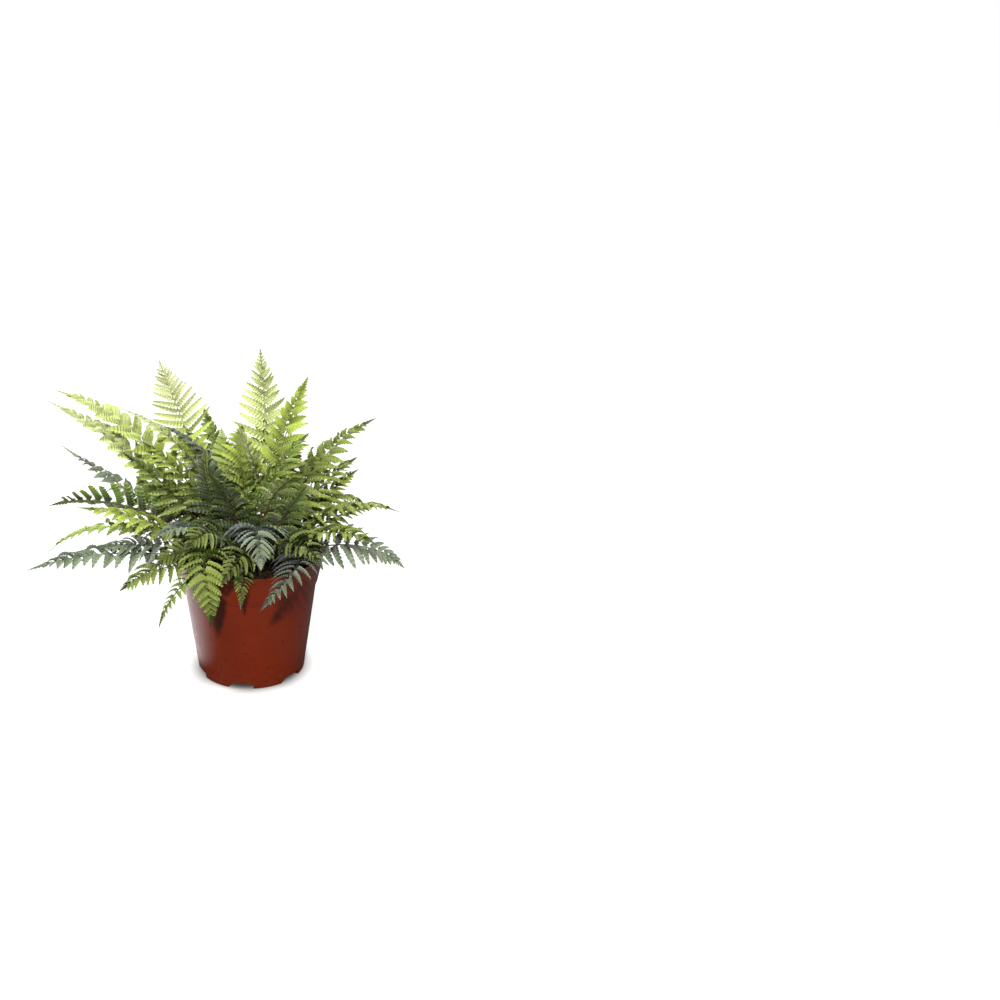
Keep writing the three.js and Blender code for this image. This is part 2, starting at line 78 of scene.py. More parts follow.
# Pot
POT_HEIGHT = 106.0
RIM_RADIUS = 60.0
BASE_RADIUS = 43.0
WALL = 1.3
BAND_LOW = 80.0
BAND_LOW_RADIUS = 54.4
BAND_STEP = 1.0
BAND_SLOPE = (RIM_RADIUS - BAND_LOW_RADIUS) / (POT_HEIGHT - BAND_LOW)
FLOOR_EDGE = 0.3                # how far the floor's edge is rounded off
LIP_STEP = 0.1
WALL_LEVELS = (1.0, 3.0, 5.0, 8.0, 20.0, 35.0, 50.0, 65.0, 77.0, 79.4, BAND_LOW)
BAND_LEVELS = (80.5, 81.2, 88.0, 97.0, 104.2)
LIP_LEVELS = (104.8, 105.4)
CHANNELS = 6
CHANNEL_HALF = 8.5
CHANNEL_HEIGHT = 5.0
CHANNEL_START = 27.0
DRAIN = (34.0, 39.0)
DRAIN_HALF = 4.5
SOFT_EDGE = 0.28

# Soil and crown
SOIL_TOP = 97.5
SOIL_LUMP = 1.1
SOIL_FOOT = 6.8
SOIL_GAP = 0.3
BED_RADIUS = 41.0
BED_DEPTH = 2.5
CROWN_RADIUS = 40.0
CROWN_EDGE = 98.0
CROWN_RISE = 7.0
CROWN_KNOB = 0.6
POLE = 0.02                     # radius of the small cap that closes a turned body

# How a frond grows: the same rule as the solids
STEPS = 48
BEND = 1.6
FOOT = 33.0
FOOT_SPREAD = 0.8
ROOT_DEPTH = 6.0
STIPE_HALF = 1.0
RACHIS_HALF = 0.65
TIP_HALF = 0.45
STIPE_CUTS = 3
BLADE_END = 0.86
CROWDING = 0.4
LOWEST = 0.7
SWELL = 1.5
TAPER = 1.15
TAPER_BOW = 0.95
ANGLE_LOW = 78.0
ANGLE_TIP = 40.0
BLADE_HALF = 0.35
SHOULDER = 0.38
BELLY = 0.37
HOOK = 0.1
DROOP = 0.2
TAIL_SHOULDER = 0.25
TAIL_WING = 0.11
TRIES = 400
TRY_TURN = 2.2
TRY_RISE = 1.6
TRY_ANGLE = 2.4
BOX_FIT = 0.05                  # how closely a frond's box has to meet its node's box

# One row per frond that shows singly: name, turn, rise, fall, long, wide, pairs, bare, sweep, roll,
# then its finish, half a pinna's breadth in spaces between pinnae, how full its outline is, how
# deep its lobes are cut, and its tone from dark to light
FROND_COLUMNS = ("name", "turn", "rise", "fall", "long", "wide", "pairs", "bare", "sweep", "roll",
                 "finish", "breadth", "full", "cut", "tone")
FRONDS = [
    ("pale_left", 147, 60, 63, 160, 30, 13, 0.56, 0, -45, "young", 0.42, 2.6, 0.35, 1.2),
    ("tall_right", 84, 56, 80, 160, 37, 13, 0.34, 40, 0, "young", 0.44, 2.3, 0.35, 0.85),
    ("blue_arch", 174, 82, 15, 128, 24, 10, 0.46, -3, 30, "silver", 0.46, 2, 0.4, 0.3),
    ("arch_upper", 171, 58, 4, 195, 28, 11, 0.4, -14, 0, "young", 0.46, 2.6, 0.4, 0.8),
    ("arch_lower", 170, 48, 23, 182, 26, 11, 0.4, 6, 0, "young", 0.46, 2.6, 0.4, 0.95),
    ("long_low_left", 205, 16, -8, 146, 29, 11, 0.3, 14, 0, "silver", 0.48, 2.2, 0.35, 0.7),
    ("bright_front", 246, 46, -108, 118, 28, 11, 0.3, 80, 0, "young", 0.47, 2.8, 0.3, -0.7),
    ("silver_front", 285, 66, -60, 104, 34, 11, 0.28, 0, 0, "silver", 0.46, 2.2, 0.45, 0.8),
    ("silver_hang", 317, 38, -54, 128, 28, 11, 0.35, -116, 0, "silver", 0.42, 2, 0.45, -0.05),
    ("right_low", 358, 25, -46, 102, 27, 10, 0.28, 0, 30, "silver", 0.46, 2.6, 0.4, 1),
    ("upstanding_left", 179, 35, -19, 141, 25, 10, 0.35, 6, 60, "mature", 0.42, 5, 0.15, 0.4),
    ("yellow_left", 198, 36, 9, 117, 28, 9, 0.32, 1, 0, "young", 0.46, 2.4, 0.45, 0.4),
    ("thin_left", 189, 30, -50, 143, 20, 9, 0.35, -9, 0, "mature", 0.42, 2, 0.4, 1.1),
    ("grey_far_left", 160, 22, 33, 153, 20, 10, 0.35, 15, 0, "silver", 0.42, 2, 0.4, 1.4),
    ("low_left", 222, 17, -25, 88, 29, 8, 0.28, 6, 0, "mature", 0.5, 2.4, 0.45, 0.15),
    ("hang_left_tip", 248, 27, -67, 103, 16, 8, 0.3, -9, 0, "mature", 0.42, 2, 0.45, 0.5),
    ("small_front", 275, 26, -60, 62, 11, 7, 0.35, 0, 0, "mature", 0.46, 2.2, 0.45, 0.5),
    ("dark_centre", 212, 69, 90, 96, 29, 11, 0.32, 0, 75, "mature", 0.46, 2.2, 0.4, 0.1),
    ("narrow_yellow", 8, 82, 134, 108, 18, 9, 0.55, -60, 20, "young", 0.46, 2.2, 0.4, 0.7),
    ("curled_young", 166, 71, 12, 150, 13, 7, 0.6, 4, 0, "young", 0.46, 2.2, 0.3, 1),
    ("yellow_right", 34, 45, 25, 92, 27, 8, 0.3, 0, 0, "young", 0.48, 2.4, 0.4, 0.4),
    ("dark_right", 16, 39, 0, 88, 25, 8, 0.3, 0, 0, "mature", 0.46, 2.2, 0.4, 0.1),
    ("silver_near", 228, 58, -20, 88, 27, 8, 0.28, 0, 0, "silver", 0.48, 2.4, 0.45, 0.7),
    ("back_right", 68, 68, 40, 146, 30, 9, 0.34, 0, 0, "young", 0.46, 2.2, 0.4, 0.45),
    ("arch_right", 38, 62, 12, 142, 29, 9, 0.34, 0, 0, "mature", 0.46, 2.2, 0.4, 0.15),
]

# Fronds that fill the clump between and behind those: the same columns but for the name, which
# counts them, and for the breadth, the fullness and the cut, which all of them share
MOUND_BLADE = (0.42, 2.4, 0.55)
MOUND = [
    (130, 73, 34, 100, 29, 7, 0.26, -25, -12, "mature", 1.1),
    (155, 50, -26, 95, 30, 7, 0.32, 27, -30, "mature", 0.25),
    (-31, 81, 14, 104, 30, 7, 0.25, -19, -36, "mature", 0.85),
    (177, 65, 32, 114, 27, 7, 0.37, 5, -10, "young", 0.15),
    (236, 75, 51, 66, 27, 6, 0.23, 4, 32, "mature", 0.5),
    (226, 43, -45, 68, 23, 6, 0.3, -12, -38, "mature", 0.2),
    (-41, 63, 51, 88, 23, 7, 0.33, 14, -33, "mature", 0.55),
    (116, 82, 8, 110, 29, 7, 0.34, -24, 18, "young", 0.2),
    (277, 46, -38, 89, 23, 7, 0.26, -29, -36, "mature", -0.5),
    (212, 28, -7, 97, 25, 7, 0.33, -18, -15, "silver", 0.4),
    (-52, 49, -28, 112, 25, 7, 0.28, -5, 22, "mature", -0.5),
    (135, 58, 17, 119, 26, 7, 0.25, -8, -2, "silver", 0.95),
    (247, 62, -31, 85, 27, 7, 0.33, -4, -29, "mature", 0.1),
    (192, 56, 38, 116, 28, 7, 0.24, -2, -37, "mature", 0.1),
    (78, 32, 11, 114, 30, 7, 0.28, 10, 12, "mature", 0.95),
    (258, 73, 41, 102, 28, 7, 0.26, -23, 18, "mature", 0),
    (152, 23, 0, 115, 24, 7, 0.34, -29, -14, "mature", 0.55),
    (4, 75, -10, 60, 29, 6, 0.22, -8, 34, "mature", 0.65),
    (131, 45, 14, 121, 29, 7, 0.33, -7, -11, "young", 0.7),
    (93, 53, 42, 116, 25, 7, 0.33, -5, 7, "young", 0.9),
]

# Rings of fronds that fill the clump: name, count, first, arc, rise, fall, long, wide, pairs, bare
TIERS = [
    ("low", 4, 62, 150, 30, -38, 108, 28, 7, 0.3),
    ("middle", 5, -34, 200, 48, -10, 110, 28, 7, 0.3),
    ("high", 3, 0, 150, 66, 26, 112, 28, 7, 0.32),
]
TIER_SEED = 17
TIER_BREADTH = 0.41
TIER_FULL = 2.3
TIER_CUT = 0.55
TIER_TONES = {"young": -0.6, "mature": 0.65}
YOUNG_FROM = 0.45               # a frond whose draw is over this is young
VARY_TURN = 7.0
VARY_RISE = 5.0
VARY_SLOPE = 14.0
VARY_ROLL = 12.0
VARY_LONG = 0.12
VARY_WIDE = 0.1
VARY_BREADTH = 0.03
VARY_FULL = 0.3
VARY_TONE = 0.3

CLUMP_HEART = (0, 0, 0.11)      # in metres: leaves are painted darker near it, as painted shade deep in the clump

# Stalks
STALK_RINGS = 57
STALK_SIDES = 8
STALK_BURIED = 0.9              # how much of the root's depth the stalk goes down
STALK_SWELL = 0.35              # how much thicker its foot is, over STALK_FOOT of its length
STALK_FOOT = 0.12
STALK_TIP = 0.62                # how far the rachis thins to the tip
GROOVE = 0.3                    # depth and half width of the groove in its upper side
GROOVE_HALF = 0.5

# Pinnae: how many, and how they stand
FINE_PAIRS = 10.5               # least number of pinna pairs on a finer frond
LOW_PAIRS = 2                   # reduced pairs that carry on down the stalk
LOW_SIZE = 0.75                 # their length against that of a full pinna
STAGGER = 0.1                   # how far left and right pinnae stand apart, in spaces
PINNA_TILT = 14.0               # degrees by which a pinna's front edge stands over the next pinna
LOOSENESS = 40.0                # degrees by which pinnae twist: the deeper they are cut, the more
PINNA_RISE = 0.5                # how steeply a pinna leaves the rachis before it droops
DROOPS = {"upstanding_left": -0.45, "arch_upper": -0.15, "arch_lower": -0.1,
          "thin_left": 0.1, "bright_front": 0.1}
PINNAE_VARY = 0.08              # how far pinnae differ in length, then in angle, droop and curve
ANGLE_VARY = 5.0
DROOP_VARY = 0.1
CURVE_VARY = 0.5

# Pinnae: their outline, in parts of their length and half width
LOBES = 8                       # lobes along each side of a pinna
LOBE_STEPS = (0.0, 0.22, 0.58, 0.88)
LOBE_EDGE = (0.0, 0.68, 1.0, 0.82)
LOBE_CROWDING = 0.35            # how much closer the lobes stand towards the pinna's tip
LOBE_LEAN = 0.42                # how far a lobe leans to the tip, in its own lengths
BLUNTNESS = 1.8                 # the fuller a pinna's outline, the blunter its tip
PINNA_FOOT = 1.1                # how much broader it is at its foot, up to FOOT_END
FOOT_END = 0.14
FOOT_EDGE = 0.95
OVERLAP = 1.35                  # how much broader pinnae are near the frond's tip
BROADEST = 0.3                  # greatest half width, in lengths
LEAST_HALF = 0.03
CUT_FADE = 0.45                 # how much shallower lobes are at the pinna's tip,
CUT_FADE_UP = 0.4               # and at the frond's
AURICLE = 0.32                  # the ear at the pinna's foot: its size, its place and its breadth
AURICLE_AT = 0.11
AURICLE_HALF = 0.07

# Pinnae: their cross-section
CROSS_SECTION = np.array([1.0, 0.55, 0.0, -0.55, -1.0, -0.55, 0.0, 0.55])
UPPER_SIDE = np.array([0.0, 1.0, 1.0, 1.0, 0.0, -1.0, -1.0, -1.0])
RIM_HALF = 0.05                 # half the blade's thickness at its edge
MIDDLE_HALF = 0.2
TIP_THIN = 0.4                  # how far it thins to the tip
ARCH = 0.10                     # how far its halves bulge
ARCH_BEND = 1.1
FOLD = (0.15, 0.75)             # least and greatest fold along the midrib
RIPPLE = 0.22                   # how far its rim waves from lobe to lobe

# The tail of a frond
TAIL_LOBES = 6
TAIL_HALF = 1.25
TAIL_CUT = 0.62
TAIL_FOLD = 0.2
TAIL_LEAN = 0.6
TAIL_START = BLADE_END * 0.97
WING_START = 0.4                # where on the blade the rachis begins to be winged
WING_STEPS = 7
WING_HALF = 0.3

# Small things
GOLDEN = 1.618
LUMP_CORNERS = 12
CRUMBS = 900
CRUMB_RING = 56.0               # how far out crumbs lie
STALK_CHAFF = 16
CROWN_CHAFF = 420
# Specks of soil that cling to the wall, as pixels of the frame
WALL_SPECKS = [(244, 644), (246, 654), (261, 650), (299, 626), (197, 652), (268, 668), (226, 660), (283, 641)]


def hashed(i, k):
    """The solids' repeatable random number: the fraction of a large multiple of a sine."""
    wave = math.sin(i * 12.9898 + k * 78.233) * 43758.5453
    return wave - math.floor(wave)


def mix(low, high, part):
    """Low where part is 0, high where it is 1, and a straight line between."""
    return low + (high - low) * part


def smooth(low, high, value):
    """0 below low, 1 above high, and 3p² - 2p³ between them."""
    part = np.clip((value - low) / (high - low), 0.0, 1.0)
    return part * part * (3 - 2 * part)


def waves(points, seed, count, shortest, longest):
    """A rough field from -1 to 1: the mean of sines of seeded direction, phase and wavelength."""
    random = np.random.default_rng(seed)
    way = random.normal(size=(count, points.shape[-1]))
    way /= np.linalg.norm(way, axis=1, keepdims=True)
    length = shortest * (longest / shortest) ** random.random(count)
    phase = random.random(count) * TURN
    turns = points @ (way * (TURN / length)[:, None]).T + phase
    return np.sin(turns).sum(-1) / math.sqrt(count)


def crown_height(radius):
    """The crown's dome: it falls from its middle with the square of the radius."""
    return CROWN_EDGE + CROWN_RISE * (1 - (radius / CROWN_RADIUS) ** 2)


# Meshes

def write_mesh(name, points, quads, caps=None, layers=None, second=None):
    """An object at the origin from points in millimetres, four-cornered faces and many-cornered caps.

    layers holds a UV pair for each corner of each face, and second is true for faces that wear
    the second material."""
    mesh = bpy.data.meshes.new(name)
    caps = np.zeros((0, 4), int) if caps is None else caps
    corners = np.concatenate([quads.ravel(), caps.ravel()])
    quad_starts = np.arange(len(quads)) * 4
    cap_starts = quads.size + np.arange(len(caps)) * caps.shape[1]
    mesh.vertices.add(len(points))
    mesh.vertices.foreach_set("co", (points * MM).astype(np.float32).ravel())
    mesh.loops.add(len(corners))
    mesh.loops.foreach_set("vertex_index", corners.astype(np.int32))
    mesh.polygons.add(len(quads) + len(caps))
    starts = np.concatenate([quad_starts, cap_starts])
    mesh.polygons.foreach_set("loop_start", starts.astype(np.int32))
    for layer, values in (layers or {}).items():
        mesh.uv_layers.new(name=layer)
        mesh.uv_layers[layer].data.foreach_set("uv", values.astype(np.float32).ravel())
    if second is not None:
        mesh.polygons.foreach_set("material_index", second.astype(np.int32))
    mesh.update(calc_edges=True)
    mesh.validate()
    thing = bpy.data.objects.new(name, mesh)
    bpy.context.scene.collection.objects.link(thing)
    return thing


def soften(thing, angle):
    """Smooth shading, but for the edges sharper than angle in degrees."""
    thing.data.shade_smooth()
    thing.data.set_sharp_from_angle(angle=math.radians(angle))
    return thing


def wear(thing, slot, materials, *nodes):
    """The piece's materials, its slot in the record, which is not used, its body, and the nodes that it
    replaces.
    """
    for material in materials:
        thing.data.materials.append(material)
    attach(thing, "root")
    if nodes:
        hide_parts(*nodes)


def loops_between(rows, ring):
    """Four-cornered faces of a grid with rows of ring points, which closes round its rings."""
    row = np.arange(rows - 1)[:, None]
    spot = np.arange(ring)[None, :]
    after = (spot + 1) % ring
    low, high = row * ring, (row + 1) * ring
    return np.stack([low + spot, low + after, high + after, high + spot], -1).reshape(-1, 4)


def ends_of(rows, ring):
    """The two many-cornered caps of such a grid, which face away from it."""
    first = np.arange(ring)
    return np.stack([first[::-1], (rows - 1) * ring + first])


def turned_body(name, radius, height, columns):
    """A closed body of revolution: rings of the given radii, at a height for each of their points.

    Height is a function of x and y as grids with a row for each ring."""
    angle = np.arange(columns) * TURN / columns
    x, y = radius[:, None] * np.cos(angle), radius[:, None] * np.sin(angle)
    points = np.stack([x, y, height(x, y)], -1).reshape(-1, 3)
    rows = len(radius)
    thing = write_mesh(name, points, loops_between(rows, columns), ends_of(rows, columns))
    return soften(thing, 60)


# Fronds

class Frond:
    """One frond's numbers, and its line: turn and slope change with the part s of its length
    as s to the power BEND, and its points are the sum of STEPS short steps that way."""

    def __init__(self, row, place):
        self.__dict__.update(row)
        reach = math.sqrt(place)
        self.turn = row["turn"] + TRY_TURN * reach * math.cos(TRY_ANGLE * place)
        self.rise = row["rise"] + TRY_RISE * reach * math.sin(TRY_ANGLE * place)
        turn = math.radians(self.turn)
        out = FOOT * max(0.0, math.cos(math.radians(self.rise))) ** FOOT_SPREAD
        foot = np.array([[out * math.cos(turn), out * math.sin(turn), crown_height(out)]])
        steps = self.heading((np.arange(STEPS) + 0.5) / STEPS)[0] * (self.long / STEPS)
        self.path = np.concatenate([foot, foot + np.cumsum(steps, axis=0)])

    def heading(self, s):
        """Unit vectors along the frond, across it and out of its upper face at the parts s."""
        bent = s ** BEND
        rise = np.radians(mix(self.rise, self.fall, bent))
        turn = np.radians(self.turn + self.sweep * bent)
        roll = math.radians(self.roll)
        ahead = np.stack([np.cos(rise) * np.cos(turn), np.cos(rise) * np.sin(turn), np.sin(rise)], -1)
        level = np.stack([-np.sin(turn), np.cos(turn), np.zeros_like(turn)], -1)
        above = np.cross(ahead, level)
        across = level * math.cos(roll) + above * math.sin(roll)
        return ahead, across, above * math.cos(roll) - level * math.sin(roll)

    def at(self, s):
        """The points of the line at the parts s of its length."""
        marks = np.linspace(0, 1, STEPS + 1)
        return np.stack([np.interp(s, marks, self.path[:, axis]) for axis in range(3)], -1)

    def half(self, s):
        """Half the stalk's width at the parts s: thinner to the blade, and on to the tip."""
        stipe = mix(STIPE_HALF, RACHIS_HALF, s / self.bare)
        blade = mix(RACHIS_HALF, TIP_HALF, (s - self.bare) / (1 - self.bare))
        return np.where(s < self.bare, stipe, blade)

    def stations(self, pairs):
        """Where along the blade its pinnae begin: they stand closer towards the tip."""
        x = np.arange(pairs + 1) / pairs
        return BLADE_END * x * (1 + CROWDING * (1 - x))

    def pinna_length(self, t):
        """A pinna's length at the part t of the blade: it grows from LOWEST, and tapers to the tip
        as 1 less t to the power TAPER."""
        return self.wide * np.minimum(1, LOWEST + SWELL * t) * (1 - t ** TAPER) ** TAPER_BOW

    def plain_box(self):
        """The box of this frond's plain solid, from the corners that its solid has: stalk, root,
        shoulder and tip of each pinna, and the tail."""
        cuts = self.bare * np.arange(STIPE_CUTS + 1) / STIPE_CUTS
        stations = self.stations(self.pairs)
        s = np.concatenate([cuts, mix(self.bare, 1, stations[1:])])
        ahead, across, up = self.heading(s)
        centre, half = self.at(s), self.half(s)[:, None]
        signs = [(a, b) for a in (1, -1) for b in (1, -1)]
        rings = [centre + a * across * half + b * up * half for a, b in signs]
        deep = self.at(0.0) - ahead[0] * ROOT_DEPTH
        rings += [(deep + a * across[0] * half[0] + b * up[0] * half[0])[None] for a, b in signs]
        t = (stations[1:] + stations[:-1]) / 2
        spacing = ((stations[1:] - stations[:-1]) * (1 - self.bare) * self.long)[:, None]
        s = mix(self.bare, 1, t)
        ahead, across, up = self.heading(s)
        centre, length = self.at(s), self.pinna_length(t)[:, None]
        angle = np.radians(mix(ANGLE_LOW, ANGLE_TIP, t))[:, None]
        faces = []
        for side in (1, -1):
            out = across * side * np.sin(angle) + ahead * np.cos(angle)
            back = across * side * np.cos(angle) - ahead * np.sin(angle)
            faces.append((centre + out * SHOULDER * length + back * BELLY * spacing
                          - up * DROOP * SHOULDER ** 2 * length, up))
            faces.append((centre + out * length + ahead * HOOK * length - up * DROOP * length, up))
        broad = np.array([mix(self.bare, 1, mix(BLADE_END, 1, TAIL_SHOULDER))])
        _, across, up = self.heading(broad)
        wing = TAIL_WING * self.wide
        faces += [(self.at(broad) + side * wing * across, up) for side in (1, -1)]
        faces.append((self.path[-1:], self.heading(np.ones(1))[2]))
        rings += [place + side * BLADE_HALF * up for place, up in faces for side in (1, -1)]
        points = np.concatenate(rings)
        return points.min(0), points.max(0)


def clump_rows():
    """The fronds' rows: those that show singly, the mound, then the tiers with seeded differences."""
    rows = list(FRONDS)
    for i, row in enumerate(MOUND):
        rows.append((f"mound_{i + 1}", *row[:-1], *MOUND_BLADE, row[-1]))
    rows = [dict(zip(FROND_COLUMNS, row)) for row in rows]
    for k, (name, count, first, arc, rise, fall, long, wide, pairs, bare) in enumerate(TIERS):
        for i in range(count):
            vary = [2 * hashed(TIER_SEED * k + i, n) - 1 for n in range(12)]
            finish = "young" if vary[8] > YOUNG_FROM else "mature"
            rows.append({
                "name": f"{name}_{i + 1}",
                "turn": first + arc * i / count + vary[1] * VARY_TURN,
                "rise": rise + vary[2] * VARY_RISE,
                "fall": fall + vary[3] * VARY_SLOPE,
                "sweep": vary[4] * VARY_SLOPE,
                "roll": vary[5] * VARY_ROLL,
                "long": long * (1 + vary[6] * VARY_LONG),
                "wide": wide * (1 + vary[7] * VARY_WIDE),
                "pairs": pairs,
                "bare": bare,
                "finish": finish,
                "breadth": TIER_BREADTH + VARY_BREADTH * vary[9],
                "full": TIER_FULL + VARY_FULL * vary[10],
                "cut": TIER_CUT,
                "tone": TIER_TONES[finish] + VARY_TONE * vary[11],
            })
    return rows


def placed(row):
    """The frond as its solid stands: the k-th place of the spiral whose box is the node's box."""
    low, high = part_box("frond_" + row["name"])
    box = np.concatenate([np.array(low), np.array(high)]) / MM
    for k in range(TRIES):
        frond = Frond(row, k)
        if np.abs(np.concatenate(frond.plain_box()) - box).max() < BOX_FIT:
            return frond
    raise RuntimeError(f"no place of {row['name']} fits its solid")


def stalk_of(frond):
    """Stalk and rachis: rings of eight points round the frond's line, the first of them buried.

    A ring's radius is half the stalk's width, a little more at the swollen foot, and its
    upper side is grooved."""
    s = np.concatenate([[0.0], np.linspace(0, 1, STALK_RINGS)])
    ahead, across, up = frond.heading(s)
    centre = frond.at(s)
    centre[0] -= ahead[0] * ROOT_DEPTH * STALK_BURIED
    swollen = 1 + STALK_SWELL * (1 - smooth(0, STALK_FOOT, s))
    radius = frond.half(s) * swollen * mix(1, STALK_TIP, s)
    angle = np.arange(STALK_SIDES) * (TURN / STALK_SIDES)
    groove = 1 - GROOVE * np.exp(-(((angle - math.pi / 2) / GROOVE_HALF) ** 2))
    x = np.cos(angle)[None, :, None] * across[:, None, :]
    y = (np.sin(angle) * groove)[None, :, None] * up[:, None, :]
    points = centre[:, None, :] + (x + y) * radius[:, None, None]
    quads = loops_between(len(s), STALK_SIDES)[:, ::-1]
    place = np.stack([np.repeat(s, STALK_SIDES), np.tile(angle / TURN, len(s))], -1)[quads.reshape(-1)]
    return {"points": points.reshape(-1, 3), "quads": quads, "caps": ends_of(len(s), STALK_SIDES)[:, ::-1],
            "vein": place, "place": place, "tone": np.tile([0.5, frond.tone], (len(place), 1))}


def lobed(phase, cut):
    """How far the edge reaches at each step of a lobe: from the notch to its full width."""
    steps = len(LOBE_STEPS)
    edge = np.array(LOBE_EDGE)[np.arange(phase.shape[-1]) % steps]
    return 1 - cut * (1 - edge)


def lobe_phases(lobes):
    """The steps of so many lobes, counted in lobes from the foot of the blade to its tip."""
    return np.append((np.arange(lobes)[:, None] + np.array(LOBE_STEPS)).ravel(), lobes)


def arch_of(bend, fold):
    """How far the cross-section bulges on each side of the midrib, less how far it is folded."""
    across = np.abs(CROSS_SECTION)
    return ARCH * (1 - np.cos(math.pi * across * bend)) - fold * CROSS_SECTION ** 2


def thickness(u):
    """Half the blade's thickness above and below its middle: least at the rims and at the tip."""
    thick = mix(RIM_HALF, MIDDLE_HALF, 1 - np.abs(CROSS_SECTION)) * UPPER_SIDE
    return thick * mix(1, TIP_THIN, u)[:, None]


def vein_map(quads, phase):
    """For each corner its row, and its place among the veins: lobes along the blade, and from 0
    to 1 across its upper face or from 2 to 3 across its lower one."""
    ring = len(CROSS_SECTION)
    row, spot = np.divmod(quads.reshape(-1), ring)
    lower = np.repeat((np.arange(len(quads)) % ring) >= ring // 2, 4)
    return row, np.stack([phase[row], (CROSS_SECTION[spot] + 1) / 2 + 2 * lower], -1)


